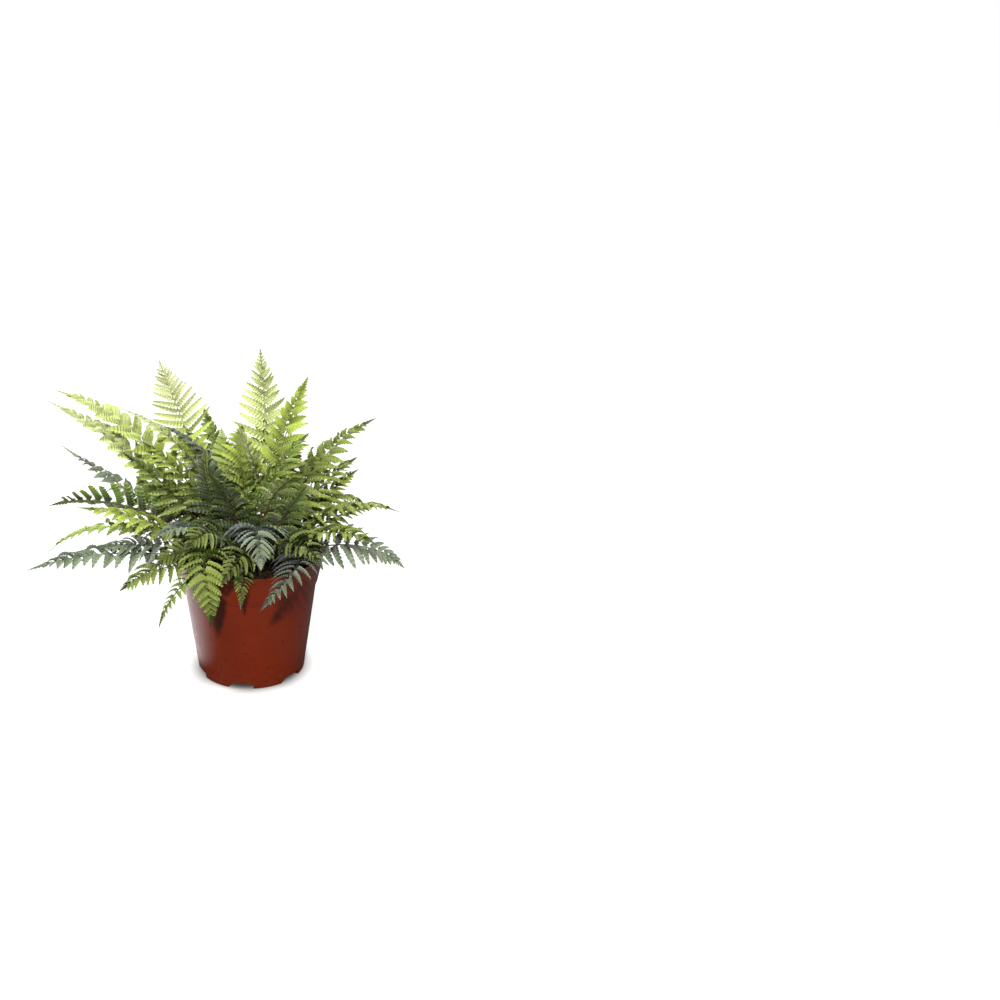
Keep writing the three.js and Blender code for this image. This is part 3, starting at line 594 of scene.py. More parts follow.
def blades_of(frond, random):
    """The pinnae as closed lens-shaped blades.

    A pinna's middle line runs out from the rachis by u, forward by HOOK·u², and up by
    PINNA_RISE·(u - u²) and down by DROOP·u² of its length. Its half width is a power curve with
    lobes that lean to the tip, and its upper face is arched with a sunken midrib."""
    pairs = int(round(max(frond.pairs, FINE_PAIRS)))
    stations = frond.stations(pairs)
    t = (stations[1:] + stations[:-1]) / 2
    spacing = (stations[1:] - stations[:-1]) * (1 - frond.bare) * frond.long
    below = -t[0] - (t[1] - t[0]) * np.arange(LOW_PAIRS)
    t, spacing = np.append(t, below), np.append(spacing, np.full(LOW_PAIRS, spacing[0]))
    side = np.repeat([1.0, -1.0], len(t))
    t, spacing = np.tile(t, 2), np.tile(spacing, 2)
    count = len(t)

    shift = side * STAGGER * (stations[1] - stations[0])
    s = mix(frond.bare, 1, np.minimum(t + shift, BLADE_END))
    ahead, across, up = frond.heading(s)
    start = frond.at(s)
    reduced = np.where(t < 0, LOW_SIZE * s / frond.bare, 1)
    t = np.maximum(t, 0)
    length = frond.pinna_length(t) * reduced * (1 + PINNAE_VARY * random.uniform(-1, 1, count))
    angle = mix(ANGLE_LOW, ANGLE_TIP, t) + random.uniform(-ANGLE_VARY, ANGLE_VARY, count)
    angle = np.radians(angle)[:, None]
    out = across * side[:, None] * np.sin(angle) + ahead * np.cos(angle)
    droop = DROOPS.get(frond.name, DROOP) + DROOP_VARY * random.uniform(-1, 1, count)
    raised = PINNA_RISE * (1 + CURVE_VARY * random.uniform(-1, 1, count))
    hook = HOOK * (1 + CURVE_VARY * random.uniform(-1, 1, count))

    phase = lobe_phases(LOBES)
    wide = 1 + LOBE_CROWDING
    u = (wide - np.sqrt(wide * wide - 4 * LOBE_CROWDING * phase / LOBES)) / (2 * LOBE_CROWDING)
    rows = len(u)
    spread = LOOSENESS * frond.cut
    twist = random.normal(PINNA_TILT, spread, (count, 1)) + random.normal(0, spread, (count, 1)) * u
    twist = np.radians(twist)[..., None]

    raised, droop, hook = raised[:, None], droop[:, None], hook[:, None]
    lifted = raised * (u - u ** 2) - droop * u ** 2
    middle = (start[:, None] + length[:, None, None] * (
        out[:, None] * u[:, None] + ahead[:, None] * (hook * u ** 2)[..., None]
        + up[:, None] * lifted[..., None]))
    along = (out[:, None] + ahead[:, None] * (2 * hook * u)[..., None]
             + up[:, None] * (raised * (1 - 2 * u) - 2 * droop * u)[..., None])
    along /= np.linalg.norm(along, axis=-1, keepdims=True)
    forward = np.cross(up[:, None], along) * side[:, None, None]
    forward /= np.linalg.norm(forward, axis=-1, keepdims=True)
    normal = np.cross(along, forward) * -side[:, None, None]
    forward, normal = (forward * np.cos(twist) + normal * np.sin(twist),
                       normal * np.cos(twist) - forward * np.sin(twist))

    taper = (1 - u ** frond.full) ** (BLUNTNESS / frond.full)
    outline = taper * mix(PINNA_FOOT, 1, smooth(0, FOOT_END, u))
    crowded = mix(1, OVERLAP, smooth(0.1, 0.8, t))
    half = frond.breadth * (crowded * spacing * np.sin(angle[:, 0]))[:, None] * outline
    half = np.minimum(half, BROADEST * length[:, None] * outline) + LEAST_HALF
    cut = frond.cut * (1 - CUT_FADE * u) * (1 - CUT_FADE_UP * t[:, None])
    edge = lobed(phase[None], cut)
    edge[:, 0] = FOOT_EDGE
    auricle = 1 + AURICLE * np.exp(-(((u - AURICLE_AT) / AURICLE_HALF) ** 2))
    rear, front = half * edge, half * edge * auricle
    reach = np.where(CROSS_SECTION > 0, front[..., None], rear[..., None]) * CROSS_SECTION

    lean = LOBE_LEAN * np.abs(reach) * (1 - 0.6 * u ** 3)[:, None]
    fold = random.uniform(*FOLD, count)[:, None, None]
    arch = half[..., None] * arch_of(ARCH_BEND, fold)
    wave = RIPPLE * np.cos(TURN * (phase - 0.55))
    ripple = wave[None, :, None] * half[..., None] * CROSS_SECTION ** 2
    lift = arch + ripple + thickness(u)
    points = (middle[:, :, None] + forward[:, :, None] * reach[..., None]
              + along[:, :, None] * lean[..., None] + normal[:, :, None] * lift[..., None])

    ring = len(CROSS_SECTION)
    grid = loops_between(rows, ring)
    offset = (np.arange(count) * rows * ring)[:, None, None]
    row, veins = vein_map(grid, phase)
    quads = grid[None] + offset
    caps = ends_of(rows, ring)[None] + offset
    vein = np.repeat(veins.reshape(1, -1, 4, 2), count, 0)
    place = np.zeros((count, len(grid), 4, 2))
    place[..., 0] = u[row].reshape(-1, 4)
    place[..., 1] = t[:, None, None]
    tone = np.full((count, len(grid), 4, 2), float(frond.tone))
    tone[..., 0] = random.random(count)[:, None, None]
    flip = side > 0
    for faces in (quads, caps, vein, place):
        faces[flip] = faces[flip][:, :, ::-1]
    return {"points": points.reshape(-1, 3), "quads": quads.reshape(-1, 4), "caps": caps.reshape(-1, ring),
            "vein": vein.reshape(-1, 2), "place": place.reshape(-1, 2), "tone": tone.reshape(-1, 2)}


def tail_of(frond):
    """The frond's pointed end: one more lobed blade, whose middle line is the rachis itself, and
    that starts as a wing of the rachis, which widens from nothing to the blade's notches."""
    phase = lobe_phases(TAIL_LOBES)
    u = phase / TAIL_LOBES
    low = np.arange(WING_STEPS) / WING_STEPS
    t = np.append(mix(WING_START, TAIL_START, low), mix(TAIL_START, 1, u))
    s = mix(frond.bare, 1, t)
    ahead, across, up = frond.heading(s)
    half = TAIL_HALF * TAIL_WING * frond.wide * (1 - u ** 1.1) ** 0.8 + LEAST_HALF
    edge = lobed(phase, np.full(len(u), TAIL_CUT))
    half = np.append(mix(WING_HALF, half[0] * edge[0], low), half)
    edge = np.append(np.ones(len(low)), edge)
    phase, u = np.append(TAIL_LOBES * (low - 1), phase), np.append(0 * low, u)
    reach = (half * edge)[:, None] * CROSS_SECTION
    lift = half[:, None] * arch_of(1, TAIL_FOLD) + thickness(u)
    lean = TAIL_LEAN * np.abs(reach)
    points = (frond.at(s)[:, None] + across[:, None] * reach[..., None]
              + ahead[:, None] * lean[..., None] + up[:, None] * lift[..., None])
    quads = loops_between(len(u), len(CROSS_SECTION))
    row, vein = vein_map(quads, phase)
    return {"points": points.reshape(-1, 3), "quads": quads, "caps": ends_of(len(u), len(CROSS_SECTION)),
            "vein": vein, "place": np.stack([0.3 * u[row], np.full(len(row), 1.0)], -1),
            "tone": np.tile([0.5, frond.tone], (len(row), 1))}


def lacy_frond(frond, seed):
    """Pinnae, tail and stalk of one frond as one mesh, with the stalk in the second material."""
    parts = [blades_of(frond, np.random.default_rng(seed)), tail_of(frond), stalk_of(frond)]
    starts = np.cumsum([0] + [len(part["points"]) for part in parts])
    points = np.concatenate([part["points"] for part in parts])
    quads, caps = [np.concatenate([part[kind] + start for part, start in zip(parts, starts)])
                   for kind in ("quads", "caps")]
    layers = {}
    for layer, on_caps in (("vein", 0.0), ("place", 0.0), ("tone", 0.5)):
        corners = [part[layer] for part in parts] + [np.full((caps.size, 2), on_caps)]
        layers[layer] = np.concatenate(corners)
    is_stalk = np.concatenate([np.full(len(part[kind]), part is parts[-1])
                               for kind in ("quads", "caps") for part in parts])
    return soften(write_mesh(frond.name + "_frond", points, quads, caps, layers, is_stalk), 62)


# Camera, floor and light

def camera_axes():
    """Right, up and forward of a camera tilted down by CAMERA_TILT and rolled by CAMERA_ROLL."""
    tilt, roll = math.radians(CAMERA_TILT), math.radians(CAMERA_ROLL)
    forward = np.array([0, math.cos(tilt), -math.sin(tilt)])
    level = np.array([1.0, 0, 0])
    above = np.cross(level, forward)
    right = math.cos(roll) * level + math.sin(roll) * above
    up = math.cos(roll) * above - math.sin(roll) * level
    return right, up, forward


def pixel_ray(pixel):
    """The direction, one unit deep, in which the camera sees a pixel of the frame."""
    right, up, forward = camera_axes()
    focal = LENS / SENSOR * FRAME_PIXELS
    half = FRAME_PIXELS / 2
    return forward + (pixel[0] - half) / focal * right - (pixel[1] - half) / focal * up


CAMERA_PLACE = POT_MIDDLE - CAMERA_DISTANCE * pixel_ray(POT_PIXEL)


def set_camera():
    """The camera at CAMERA_PLACE, which looks along its third axis."""
    right, up, forward = camera_axes()
    data = bpy.data.cameras.new("camera")
    data.lens, data.sensor_width = LENS, SENSOR
    data.clip_start, data.clip_end = 0.05, 60
    camera = bpy.data.objects.new("camera", data)
    turned = Matrix(np.stack([right, up, -forward], 1).tolist())
    camera.matrix_world = Matrix.Translation(Vector(CAMERA_PLACE * MM)) @ turned.to_4x4()
    bpy.context.scene.collection.objects.link(camera)
    bpy.context.scene.camera = camera


def area_light(name, place, power, size, colour):
    """A square light that faces LIGHT_AIM."""
    data = bpy.data.lights.new(name, "AREA")
    data.energy, data.size, data.color = power, size, colour
    light = bpy.data.objects.new(name, data)
    light.location = place
    light.rotation_euler = (Vector(LIGHT_AIM) - Vector(place)).to_track_quat("-Z", "Y").to_euler()
    bpy.context.scene.collection.objects.link(light)


def set_studio():
    """A pale floor and room, a frontal key light, one overhead, and soft light all round."""
    corners = np.array([[-1, -1, 0], [1, -1, 0], [1, 1, 0], [-1, 1, 0]]) * FLOOR_REACH
    floor = write_mesh("floor", corners, np.array([[0, 1, 2, 3]]))
    floor.data.materials.append(floor_finish())
    for light in LIGHTS:
        area_light(*light)
    world = bpy.data.worlds.new("studio")
    world.use_nodes = True
    tree = world.node_tree
    seen = tree.nodes.new("ShaderNodeLightPath").outputs["Is Camera Ray"]
    strength = between(tree, seen, 0.0, 1.0, AIR_GLOW, 1.0)
    fill(tree, tree.nodes["Background"], Color=(1, 1, 1, 1), Strength=strength)
    bpy.context.scene.world = world
    bpy.context.scene.view_settings.view_transform = "Standard"


# Shader nodes

def fill(tree, made, **inputs):
    """A node with its inputs set to values or linked to sockets. Base_Color stands for Base Color,
    and _6 for the seventh input."""
    for name, value in inputs.items():
        by_number = name[0] == "_" and name[1:].isdigit()
        socket = made.inputs[int(name[1:]) if by_number else name.replace("_", " ")]
        if isinstance(value, bpy.types.NodeSocket):
            tree.links.new(value, socket)
        else:
            socket.default_value = value
    return made


def node(tree, kind, settings=None, **inputs):
    """A new node of that kind with its settings and inputs."""
    made = tree.nodes.new("ShaderNode" + kind)
    for name, value in (settings or {}).items():
        setattr(made, name, value)
    return fill(tree, made, **inputs)


def maths(tree, operation, *values):
    """One operation on one or two values or sockets."""
    inputs = {f"_{i}": value for i, value in enumerate(values)}
    return node(tree, "Math", {"operation": operation}, **inputs).outputs[0]


def times(tree, first, *others):
    """The product of values and sockets."""
    for other in others:
        first = maths(tree, "MULTIPLY", first, other)
    return first


def plus(tree, first, second):
    """The sum of two values or sockets."""
    return maths(tree, "ADD", first, second)


def less(tree, first, second):
    """The first value or socket less the second."""
    return maths(tree, "SUBTRACT", first, second)


def blend(tree, factor, low, high):
    """The colour low where the factor is 0, and high where it is 1."""
    return node(tree, "Mix", {"data_type": "RGBA"}, _0=factor, _6=low, _7=high).outputs[2]


def between(tree, value, low, high, start=0.0, end=1.0):
    """A value smoothly carried from low..high to start..end."""
    made = node(tree, "MapRange", {"interpolation_type": "SMOOTHSTEP"}, Value=value,
                From_Min=low, From_Max=high, To_Min=start, To_Max=end)
    return made.outputs[0]


def noise(tree, place, scale, detail=3.0):
    """Cloudy noise from 0 to 1."""
    made = node(tree, "TexNoise", Vector=place, Scale=scale, Detail=detail, Roughness=0.55)
    return made.outputs["Fac"]


def split(tree, vector):
    """The X, Y and Z of a vector."""
    return node(tree, "SeparateXYZ", Vector=vector).outputs


def distance(tree, place, middle):
    """How far a place is from a middle."""
    return node(tree, "VectorMath", {"operation": "DISTANCE"}, _0=place, _1=middle).outputs["Value"]


def bump(tree, height, strength, depth):
    """The normal of a surface with that relief."""
    return node(tree, "Bump", Strength=strength, Distance=depth, Height=height).outputs[0]


def object_place(tree):
    """The point's place on the piece, in metres."""
    return tree.nodes.new("ShaderNodeTexCoord").outputs["Object"]


def uv_place(tree, name):
    """The point's place in one of the piece's UV maps."""
    return node(tree, "UVMap", {"uv_map": name}).outputs[0]


def colour(red, green, blue):
    """A colour given as it looks on a screen, from 0 to 255, as the linear one that shaders use."""
    part = np.array([red, green, blue]) / 255
    linear = np.where(part <= 0.04045, part / 12.92, ((part + 0.055) / 1.055) ** 2.4)
    return (*[float(x) for x in linear], 1.0)


def group(name, inputs, outputs):
    """An empty node group whose inputs have the given kinds and whose outputs are numbers, with
    the sockets that bring its inputs and the node that takes its outputs."""
    tree = bpy.data.node_groups.new(name, "ShaderNodeTree")
    for label, kind in inputs.items():
        tree.interface.new_socket(label, in_out="INPUT", socket_type="NodeSocket" + kind)
    for label in outputs:
        tree.interface.new_socket(label, in_out="OUTPUT", socket_type="NodeSocketFloat")
    return tree, tree.nodes.new("NodeGroupInput").outputs, tree.nodes.new("NodeGroupOutput")


def use(tree, made, **inputs):
    """A group placed in a material, with its inputs set or linked."""
    return node(tree, "Group", {"node_tree": made}, **inputs).outputs


def material(name):
    """A new material with its node tree, its Principled BSDF and its output."""
    made = bpy.data.materials.new(name)
    made.use_nodes = True
    tree = made.node_tree
    return made, tree, tree.nodes["Principled BSDF"], tree.nodes["Material Output"]


def mottle_group():
    """Broad and fine cloudiness: two noises of the place, one ten times finer."""
    tree, given, out = group("mottle", {"Place": "Vector", "Scale": "Float"}, ["Broad", "Fine"])
    broad = noise(tree, given["Place"], given["Scale"], 4)
    fine = noise(tree, given["Place"], times(tree, given["Scale"], 10.0), 3)
    fill(tree, out, Broad=broad, Fine=fine)
    return tree


def pinna_group():
    """The pattern of a pinna: its midrib, its lobes' veins, the blade puffed between them, and
    whether the face is the lower one. Vein counts lobes along the pinna and crosses it from 0 to
    1 above and from 2 to 3 below."""
    tree, given, out = group("pinna", {"Vein": "Vector"},
                             ["Across", "Midrib", "Veins", "Height", "Under", "Spore dots"])
    parts = split(tree, given["Vein"])
    under = maths(tree, "GREATER_THAN", parts["Y"], 1.5)
    level = less(tree, parts["Y"], times(tree, under, 2.0))
    across = maths(tree, "ABSOLUTE", less(tree, times(tree, level, 2.0), 1.0))
    midrib = between(tree, across, 0.02, 0.12, 1.0, 0.0)
    lobe = maths(tree, "FRACT", parts["X"])
    centred = maths(tree, "ABSOLUTE", less(tree, lobe, 0.52))
    main = between(tree, centred, 0.02, 0.09, 1.0, 0.0)
    from_fork = maths(tree, "ABSOLUTE", less(tree, centred, times(tree, across, 0.3)))
    branch = between(tree, from_fork, 0.015, 0.06, 0.7, 0.0)
    fading = between(tree, across, 0.85, 1.0, 1.0, 0.2)
    veins = times(tree, maths(tree, "MAXIMUM", main, branch), fading)
    puffed = times(tree, between(tree, centred, 0.0, 0.5, 1.0, 0.0), 0.6)
    sunk = plus(tree, times(tree, veins, 0.35), times(tree, midrib, 0.9))
    height = less(tree, puffed, sunk)
    raised = times(tree, height, -1.0)
    sided = plus(tree, times(tree, height, less(tree, 1.0, under)), times(tree, raised, under))
    from_middle = maths(tree, "ABSOLUTE", less(tree, across, 0.42))
    dots = times(tree, between(tree, from_middle, 0.1, 0.2, 1.0, 0.0), under,
                 between(tree, centred, 0.1, 0.2, 1.0, 0.0))
    fill(tree, out, Across=across, Midrib=midrib, Veins=veins, Height=sided, Under=under, Spore_dots=dots)
    return tree


def leaf_finish(name, groups, dark, light, pale, painted_backlight_share, rim, vein, silver_and_sheen, silver_and_sheen_share,
                spores, rough, thin):
    """A leaf: dark to light by frond and pinna, and veined. Painted shade darkens it at each pinna's
    foot, towards the frond's foot and deep in the clump; painted backlight washes it paler up the
    frond; it is lighter at the rim and tips, partly its own paler margin and partly painted
    highlight. A silvery colour, partly the silver fronds' own and partly painted sheen, lies on the
    outer part of its pinnae and fades at the frond's tip, spore dots lie beneath, and light comes
    through the blade."""
    made, tree, shader, output = material(name)
    pattern = use(tree, groups["pinna"], Vein=uv_place(tree, "vein"))
    clouds = use(tree, groups["mottle"], Place=object_place(tree), Scale=55.0)
    place = split(tree, uv_place(tree, "place"))
    out, up = place["X"], place["Y"]
    tones = split(tree, uv_place(tree, "tone"))
    pinna_tone, frond_tone = tones["X"], tones["Y"]
    depth = distance(tree, object_place(tree), CLUMP_HEART)

    own = plus(tree, times(tree, pinna_tone, 0.75), times(tree, clouds["Broad"], 0.25))
    # Painted shade: darker at each pinna's foot by the rachis, towards the frond's foot, and deep in the
    # clump round CLUMP_HEART
    outward = plus(tree, between(tree, out, 0.0, 0.6, -0.55, 0.15), between(tree, up, 0.0, 0.6, -0.2, 0.05))
    outward = plus(tree, outward, between(tree, depth, 0.04, 0.12, -0.6, 0.05))
    shade = plus(tree, plus(tree, own, outward), frond_tone)
    body = blend(tree, between(tree, shade, 0.2, 1.4), dark, light)
    # Painted backlight: the blade washes paler up the frond, on the lighter fronds
    paler = times(tree, between(tree, up, -0.15, 0.6), between(tree, frond_tone, 0.4, 1.1), painted_backlight_share)
    body = blend(tree, paler, body, pale)

    # Lighter rims and pinna tips, partly the leaf's own paler margin and partly painted highlight; deep in
    # the clump they are dimmed as painted shade
    tips = times(tree, between(tree, out, 0.45, 1.0), 0.55)
    rims = maths(tree, "MAXIMUM", between(tree, pattern["Across"], 0.65, 1.0, 0.0, 0.75), tips)
    rims = times(tree, rims, between(tree, depth, 0.04, 0.11, 0.25, 1.0),
                 between(tree, frond_tone, -0.7, 0.6, 0.25, 1.0))
    body = blend(tree, rims, body, rim)
    veined = times(tree, maths(tree, "MAXIMUM", pattern["Veins"], pattern["Midrib"]), 0.5)
    body = blend(tree, veined, body, vein)

    # Silvery colour on the upper face of the pinnae's outer part: partly the silver fronds' own colour and
    # partly painted sheen
    ragged = plus(tree, pattern["Across"], times(tree, clouds["Fine"], 0.5))
    band = between(tree, ragged, 0.45, 1.15, 1.0, 0.0)
    outer = times(tree, between(tree, out, 0.06, 0.45, 0.25, 1.0), between(tree, up, 0.78, 0.98, 1.0, 0.25))
    upper = less(tree, 1.0, pattern["Under"])
    drawn = plus(tree, pinna_tone, times(tree, clouds["Broad"], 0.6))
    chosen = between(tree, drawn, 0.4, 1.2, 0.6, 1.0)
    body = blend(tree, times(tree, band, outer, upper, chosen, silver_and_sheen_share), body, silver_and_sheen)
    body = blend(tree, pattern["Under"], body, blend(tree, 0.35, body, rim))
    body = blend(tree, times(tree, pattern["Spore dots"], spores), body, colour(96, 66, 38))

    grained = plus(tree, pattern["Height"], times(tree, clouds["Fine"], 0.35))
    lit = bump(tree, grained, 0.8, 0.0006)
    duller = plus(tree, times(tree, clouds["Fine"], 0.2), rough)
    fill(tree, shader, Base_Color=body, Normal=lit, Roughness=duller, Specular_IOR_Level=0.5)
    shining = blend(tree, 0.55, body, colour(176, 212, 72))
    through = node(tree, "BsdfTranslucent", Color=shining, Normal=lit)
    shared = node(tree, "MixShader", Fac=thin, _1=shader.outputs[0], _2=through.outputs[0])
    fill(tree, output, Surface=shared.outputs[0])
    return made


def leaf_finishes(groups):
    """The three finishes of the fronds: young yellow-green, mature green and silver."""
    return {
        "young": leaf_finish(
            "young_leaf", groups, dark=colour(42, 74, 0), light=colour(178, 206, 56),
            pale=colour(246, 246, 222), painted_backlight_share=0.9, rim=colour(210, 224, 116), vein=colour(150, 168, 60),
            silver_and_sheen=colour(214, 220, 188), silver_and_sheen_share=0.12, spores=0.0, rough=0.32, thin=0.22),
        "mature": leaf_finish(
            "mature_leaf", groups, dark=colour(8, 26, 0), light=colour(104, 144, 28),
            pale=colour(192, 204, 128), painted_backlight_share=0.6, rim=colour(178, 198, 102), vein=colour(112, 134, 50),
            silver_and_sheen=colour(176, 184, 180), silver_and_sheen_share=0.2, spores=0.8, rough=0.3, thin=0.14),
        "silver": leaf_finish(
            "silver_leaf", groups, dark=colour(16, 40, 6), light=colour(92, 124, 48),
            pale=colour(200, 206, 190), painted_backlight_share=0.35, rim=colour(144, 154, 140), vein=colour(78, 96, 74),
            silver_and_sheen=colour(164, 168, 202), silver_and_sheen_share=1.0, spores=0.6, rough=0.32, thin=0.06),
    }


def stalk_finish(groups):
    """Stalk: dark and chaffy brown at the crown, reddish above it, and along the blade from dark
    olive to a duller green, by the frond's tone."""
    made, tree, shader, _ = material("stalk")
    place = split(tree, uv_place(tree, "place"))
    tones = split(tree, uv_place(tree, "tone"))
    clouds = use(tree, groups["mottle"], Place=object_place(tree), Scale=120.0)
    along = plus(tree, place["X"], times(tree, less(tree, clouds["Broad"], 0.5), 0.25))
    body = blend(tree, between(tree, along, 0.0, 0.16), colour(44, 28, 16), colour(92, 58, 36))
    olive = blend(tree, between(tree, tones["Y"], 0.0, 1.2), colour(38, 34, 20), colour(96, 92, 58))
    body = blend(tree, between(tree, along, 0.2, 0.75), body, olive)
    body = blend(tree, times(tree, clouds["Fine"], 0.35), body, colour(92, 72, 44))
    fill(tree, shader, Base_Color=body, Normal=bump(tree, clouds["Fine"], 0.5, 0.0003), Roughness=0.45)
    return made


def pot_finish(groups):
    """Moulded plastic: even terracotta, faintly clouded and streaked upright, with fine grain,
    dried splashes near the foot and dark specks."""
    made, tree, shader, _ = material("pot_plastic")
    place = object_place(tree)
    height = split(tree, place)["Z"]
    clouds = use(tree, groups["mottle"], Place=place, Scale=22.0)
    upright = node(tree, "Mapping", Vector=place, Scale=(60, 60, 6)).outputs[0]
    streaks = noise(tree, upright, 1.6, 4)
    body = blend(tree, between(tree, clouds["Broad"], 0.3, 0.7), colour(117, 35, 7), colour(125, 39, 10))
    body = blend(tree, between(tree, streaks, 0.52, 0.8, 0.0, 0.22), body, colour(114, 37, 20))
    stains = times(tree, between(tree, height, 0.0, 0.03, 1.0, 0.0),
                   between(tree, clouds["Fine"], 0.45, 0.75), 0.35)
    body = blend(tree, stains, body, colour(112, 70, 52))
    specks = between(tree, noise(tree, place, 700, 1), 0.69, 0.74)
    body = blend(tree, times(tree, specks, 0.55), body, colour(60, 28, 18))
    rough = plus(tree, clouds["Fine"], times(tree, streaks, 0.5))
    rough = between(tree, rough, 0.4, 1.1, 0.24, 0.36)
    grain = plus(tree, noise(tree, place, 1500, 2), times(tree, clouds["Broad"], 2.0))
    fill(tree, shader, Base_Color=body, Roughness=rough, Normal=bump(tree, grain, 0.22, 0.0002))
    return made


def earth_finish(name, groups, dark, light, scale):
    """Potting soil and chaff: dark, matt, with lighter grains."""
    made, tree, shader, _ = material(name)
    clouds = use(tree, groups["mottle"], Place=object_place(tree), Scale=scale)
    body = blend(tree, between(tree, clouds["Fine"], 0.35, 0.7), dark, light)
    body = blend(tree, between(tree, clouds["Broad"], 0.35, 0.65, 0.0, 0.6), body, dark)
    rough = bump(tree, clouds["Fine"], 0.9, 0.0006)
    fill(tree, shader, Base_Color=body, Normal=rough, Roughness=0.92, Specular_IOR_Level=0.2)
    return made


def floor_finish():
    """Pale card that glows where the camera sees it, so that it stays white far away, and is painted
    dark close round and under the pot as a painted contact shadow. Seen by rays reflected off the
    pot it glows as a painted reflection: dim in front, bright on the left and faint on the right."""
    made, tree, shader, output = material("studio_floor")
    place = object_place(tree)
    at = split(tree, place)
    path = tree.nodes.new("ShaderNodeLightPath").outputs
    from_pot = distance(tree, place, (0, 0, 0))
    card = blend(tree, noise(tree, place, 3.0), colour(150, 148, 146), colour(156, 154, 152))
    # Painted shade under and close round the pot
    card = blend(tree, between(tree, from_pot, 0.038, 0.046), colour(58, 48, 42), card)
    body = blend(tree, path["Is Camera Ray"], colour(78, 74, 70), card)
    # Painted contact shadow: the camera's glow fades close round the pot
    near_and_far = plus(tree, between(tree, from_pot, 0.036, 0.056, 0.05, 0.86),
                        between(tree, from_pot, 0.3, 1.5, 0.0, 0.12))
    seen = times(tree, path["Is Camera Ray"], near_and_far)
    # Painted reflection: a pinkish glow that only glossy rays see, bright on the left and back and faint on
    # the right, makes the highlights down the pot's sides
    behind = less(tree, at["Y"], times(tree, at["X"], 0.35))
    left_back = times(tree, between(tree, at["X"], -0.064, -0.044, 1.5, 0.0),
                      between(tree, behind, -0.05, 0.02))
    sides = plus(tree, left_back, between(tree, at["X"], 0.05, 0.075, 0.0, 0.08))
    painted_reflection = times(tree, path["Is Glossy Ray"], sides)
    white = blend(tree, path["Is Glossy Ray"], (1, 1, 1, 1), (1, 0.92, 0.94, 1))
    glow = node(tree, "Emission", Color=white, Strength=plus(tree, seen, painted_reflection))
    fill(tree, shader, Base_Color=body, Roughness=0.8)
    both = node(tree, "AddShader", _0=shader.outputs[0], _1=glow.outputs[0])
    fill(tree, output, Surface=both.outputs[0])
    return made


# Pot

def wall_radius(height):
    """The pot's outside radius below its rim band."""
    return mix(BASE_RADIUS, BAND_LOW_RADIUS - BAND_STEP, height / BAND_LOW)


def pot_sheet():
    """The pot's outside as one sheet, from the middle of its floor out and up to its lip.

    Columns follow the edges of the six foot channels: inside a channel a column keeps its
    distance from the channel's middle, and between channels columns share the angle that is
    left. Inside a channel the floor is raised and the wall begins at the channel's roof."""
    flat = (0.0, 9.0, 18.0, CHANNEL_START, CHANNEL_START, *DRAIN, BASE_RADIUS - 1)
    floor_rows = [(radius, 0.0) for radius in flat] + [(BASE_RADIUS - FLOOR_EDGE, FLOOR_EDGE)]
    wall_rows = [(wall_radius(z), z) for z in WALL_LEVELS]
    band = [(BAND_LOW_RADIUS + BAND_SLOPE * (z - BAND_LOW), z) for z in BAND_LEVELS]
    lip = [(RIM_RADIUS - LIP_STEP, LIP_LEVELS[0]), (RIM_RADIUS, LIP_LEVELS[1]), (RIM_RADIUS, POT_HEIGHT)]
    profile = np.array(floor_rows + wall_rows + band + lip)
    slot = DRAIN_HALF / CHANNEL_HALF
    channel = np.array([-1, -0.78, -slot, -0.26, 0, 0.26, slot, 0.78, 1])
    share = np.concatenate([channel, np.linspace(0, 1, 9)[:-1]])
    in_channel = np.arange(len(share)) < len(channel)
    radius, height = profile[:, :1], profile[:, 1:]
    roof = wall_radius(CHANNEL_HEIGHT)
    gate = (radius >= BASE_RADIUS - 1) & (height < CHANNEL_HEIGHT)
    held = np.where(gate, roof, radius)
    edge = np.arcsin(CHANNEL_HALF / np.maximum(radius, CHANNEL_START))
    inside_angle = np.arcsin(CHANNEL_HALF * np.clip(share, -1, 1) / np.maximum(held, CHANNEL_START))
    gap = TURN / CHANNELS - 2 * edge
    turn = np.where(in_channel, inside_angle, edge + gap * share)
    step_row = flat.index(CHANNEL_START) + 1
    raised = in_channel & (np.arange(len(profile))[:, None] >= step_row)
    z = np.where(raised, np.maximum(height, CHANNEL_HEIGHT), height + 0 * turn)
    r = np.where(raised & gate, roof, radius + 0 * turn)
    sectors = []
    for i in range(CHANNELS):
        angle = turn - math.pi / 2 + i * TURN / CHANNELS
        sectors.append(np.stack([r * np.cos(angle), r * np.sin(angle), z], -1))
    points = np.concatenate(sectors, axis=1)
    columns = points.shape[1]
    quads = loops_between(len(profile), columns)
    row, column = quads[:, 0] // columns, quads[:, 0] % columns % len(share)
    left, right = list(channel).index(-slot), list(channel).index(slot)
    drain = (row == flat.index(DRAIN[0])) & (column >= left) & (column < right)
    return points.reshape(-1, 3), quads[~drain]


def make_pot(finish):
    """The sheet of the pot with its doubles merged, given a wall inwards and rounded edges."""
    thing = write_mesh("nursery_pot", *pot_sheet())
    form = bmesh.new()
    form.from_mesh(thing.data)
    bmesh.ops.remove_doubles(form, verts=form.verts, dist=0.02 * MM)
    bmesh.ops.dissolve_degenerate(form, edges=form.edges, dist=0.01 * MM)
    bmesh.ops.recalc_face_normals(form, faces=form.faces)
    form.to_mesh(thing.data)
    form.free()
    solid = thing.modifiers.new("wall", "SOLIDIFY")
    solid.thickness, solid.offset, solid.use_even_offset = WALL * MM, -1.0, False
    round_off = thing.modifiers.new("soft_edges", "BEVEL")
    round_off.width, round_off.segments, round_off.limit_method = SOFT_EDGE * MM, 2, "ANGLE"
    round_off.angle_limit = math.radians(50)
    wear(soften(thing, 40), "pot", [finish], "pot")


# Soil and crown

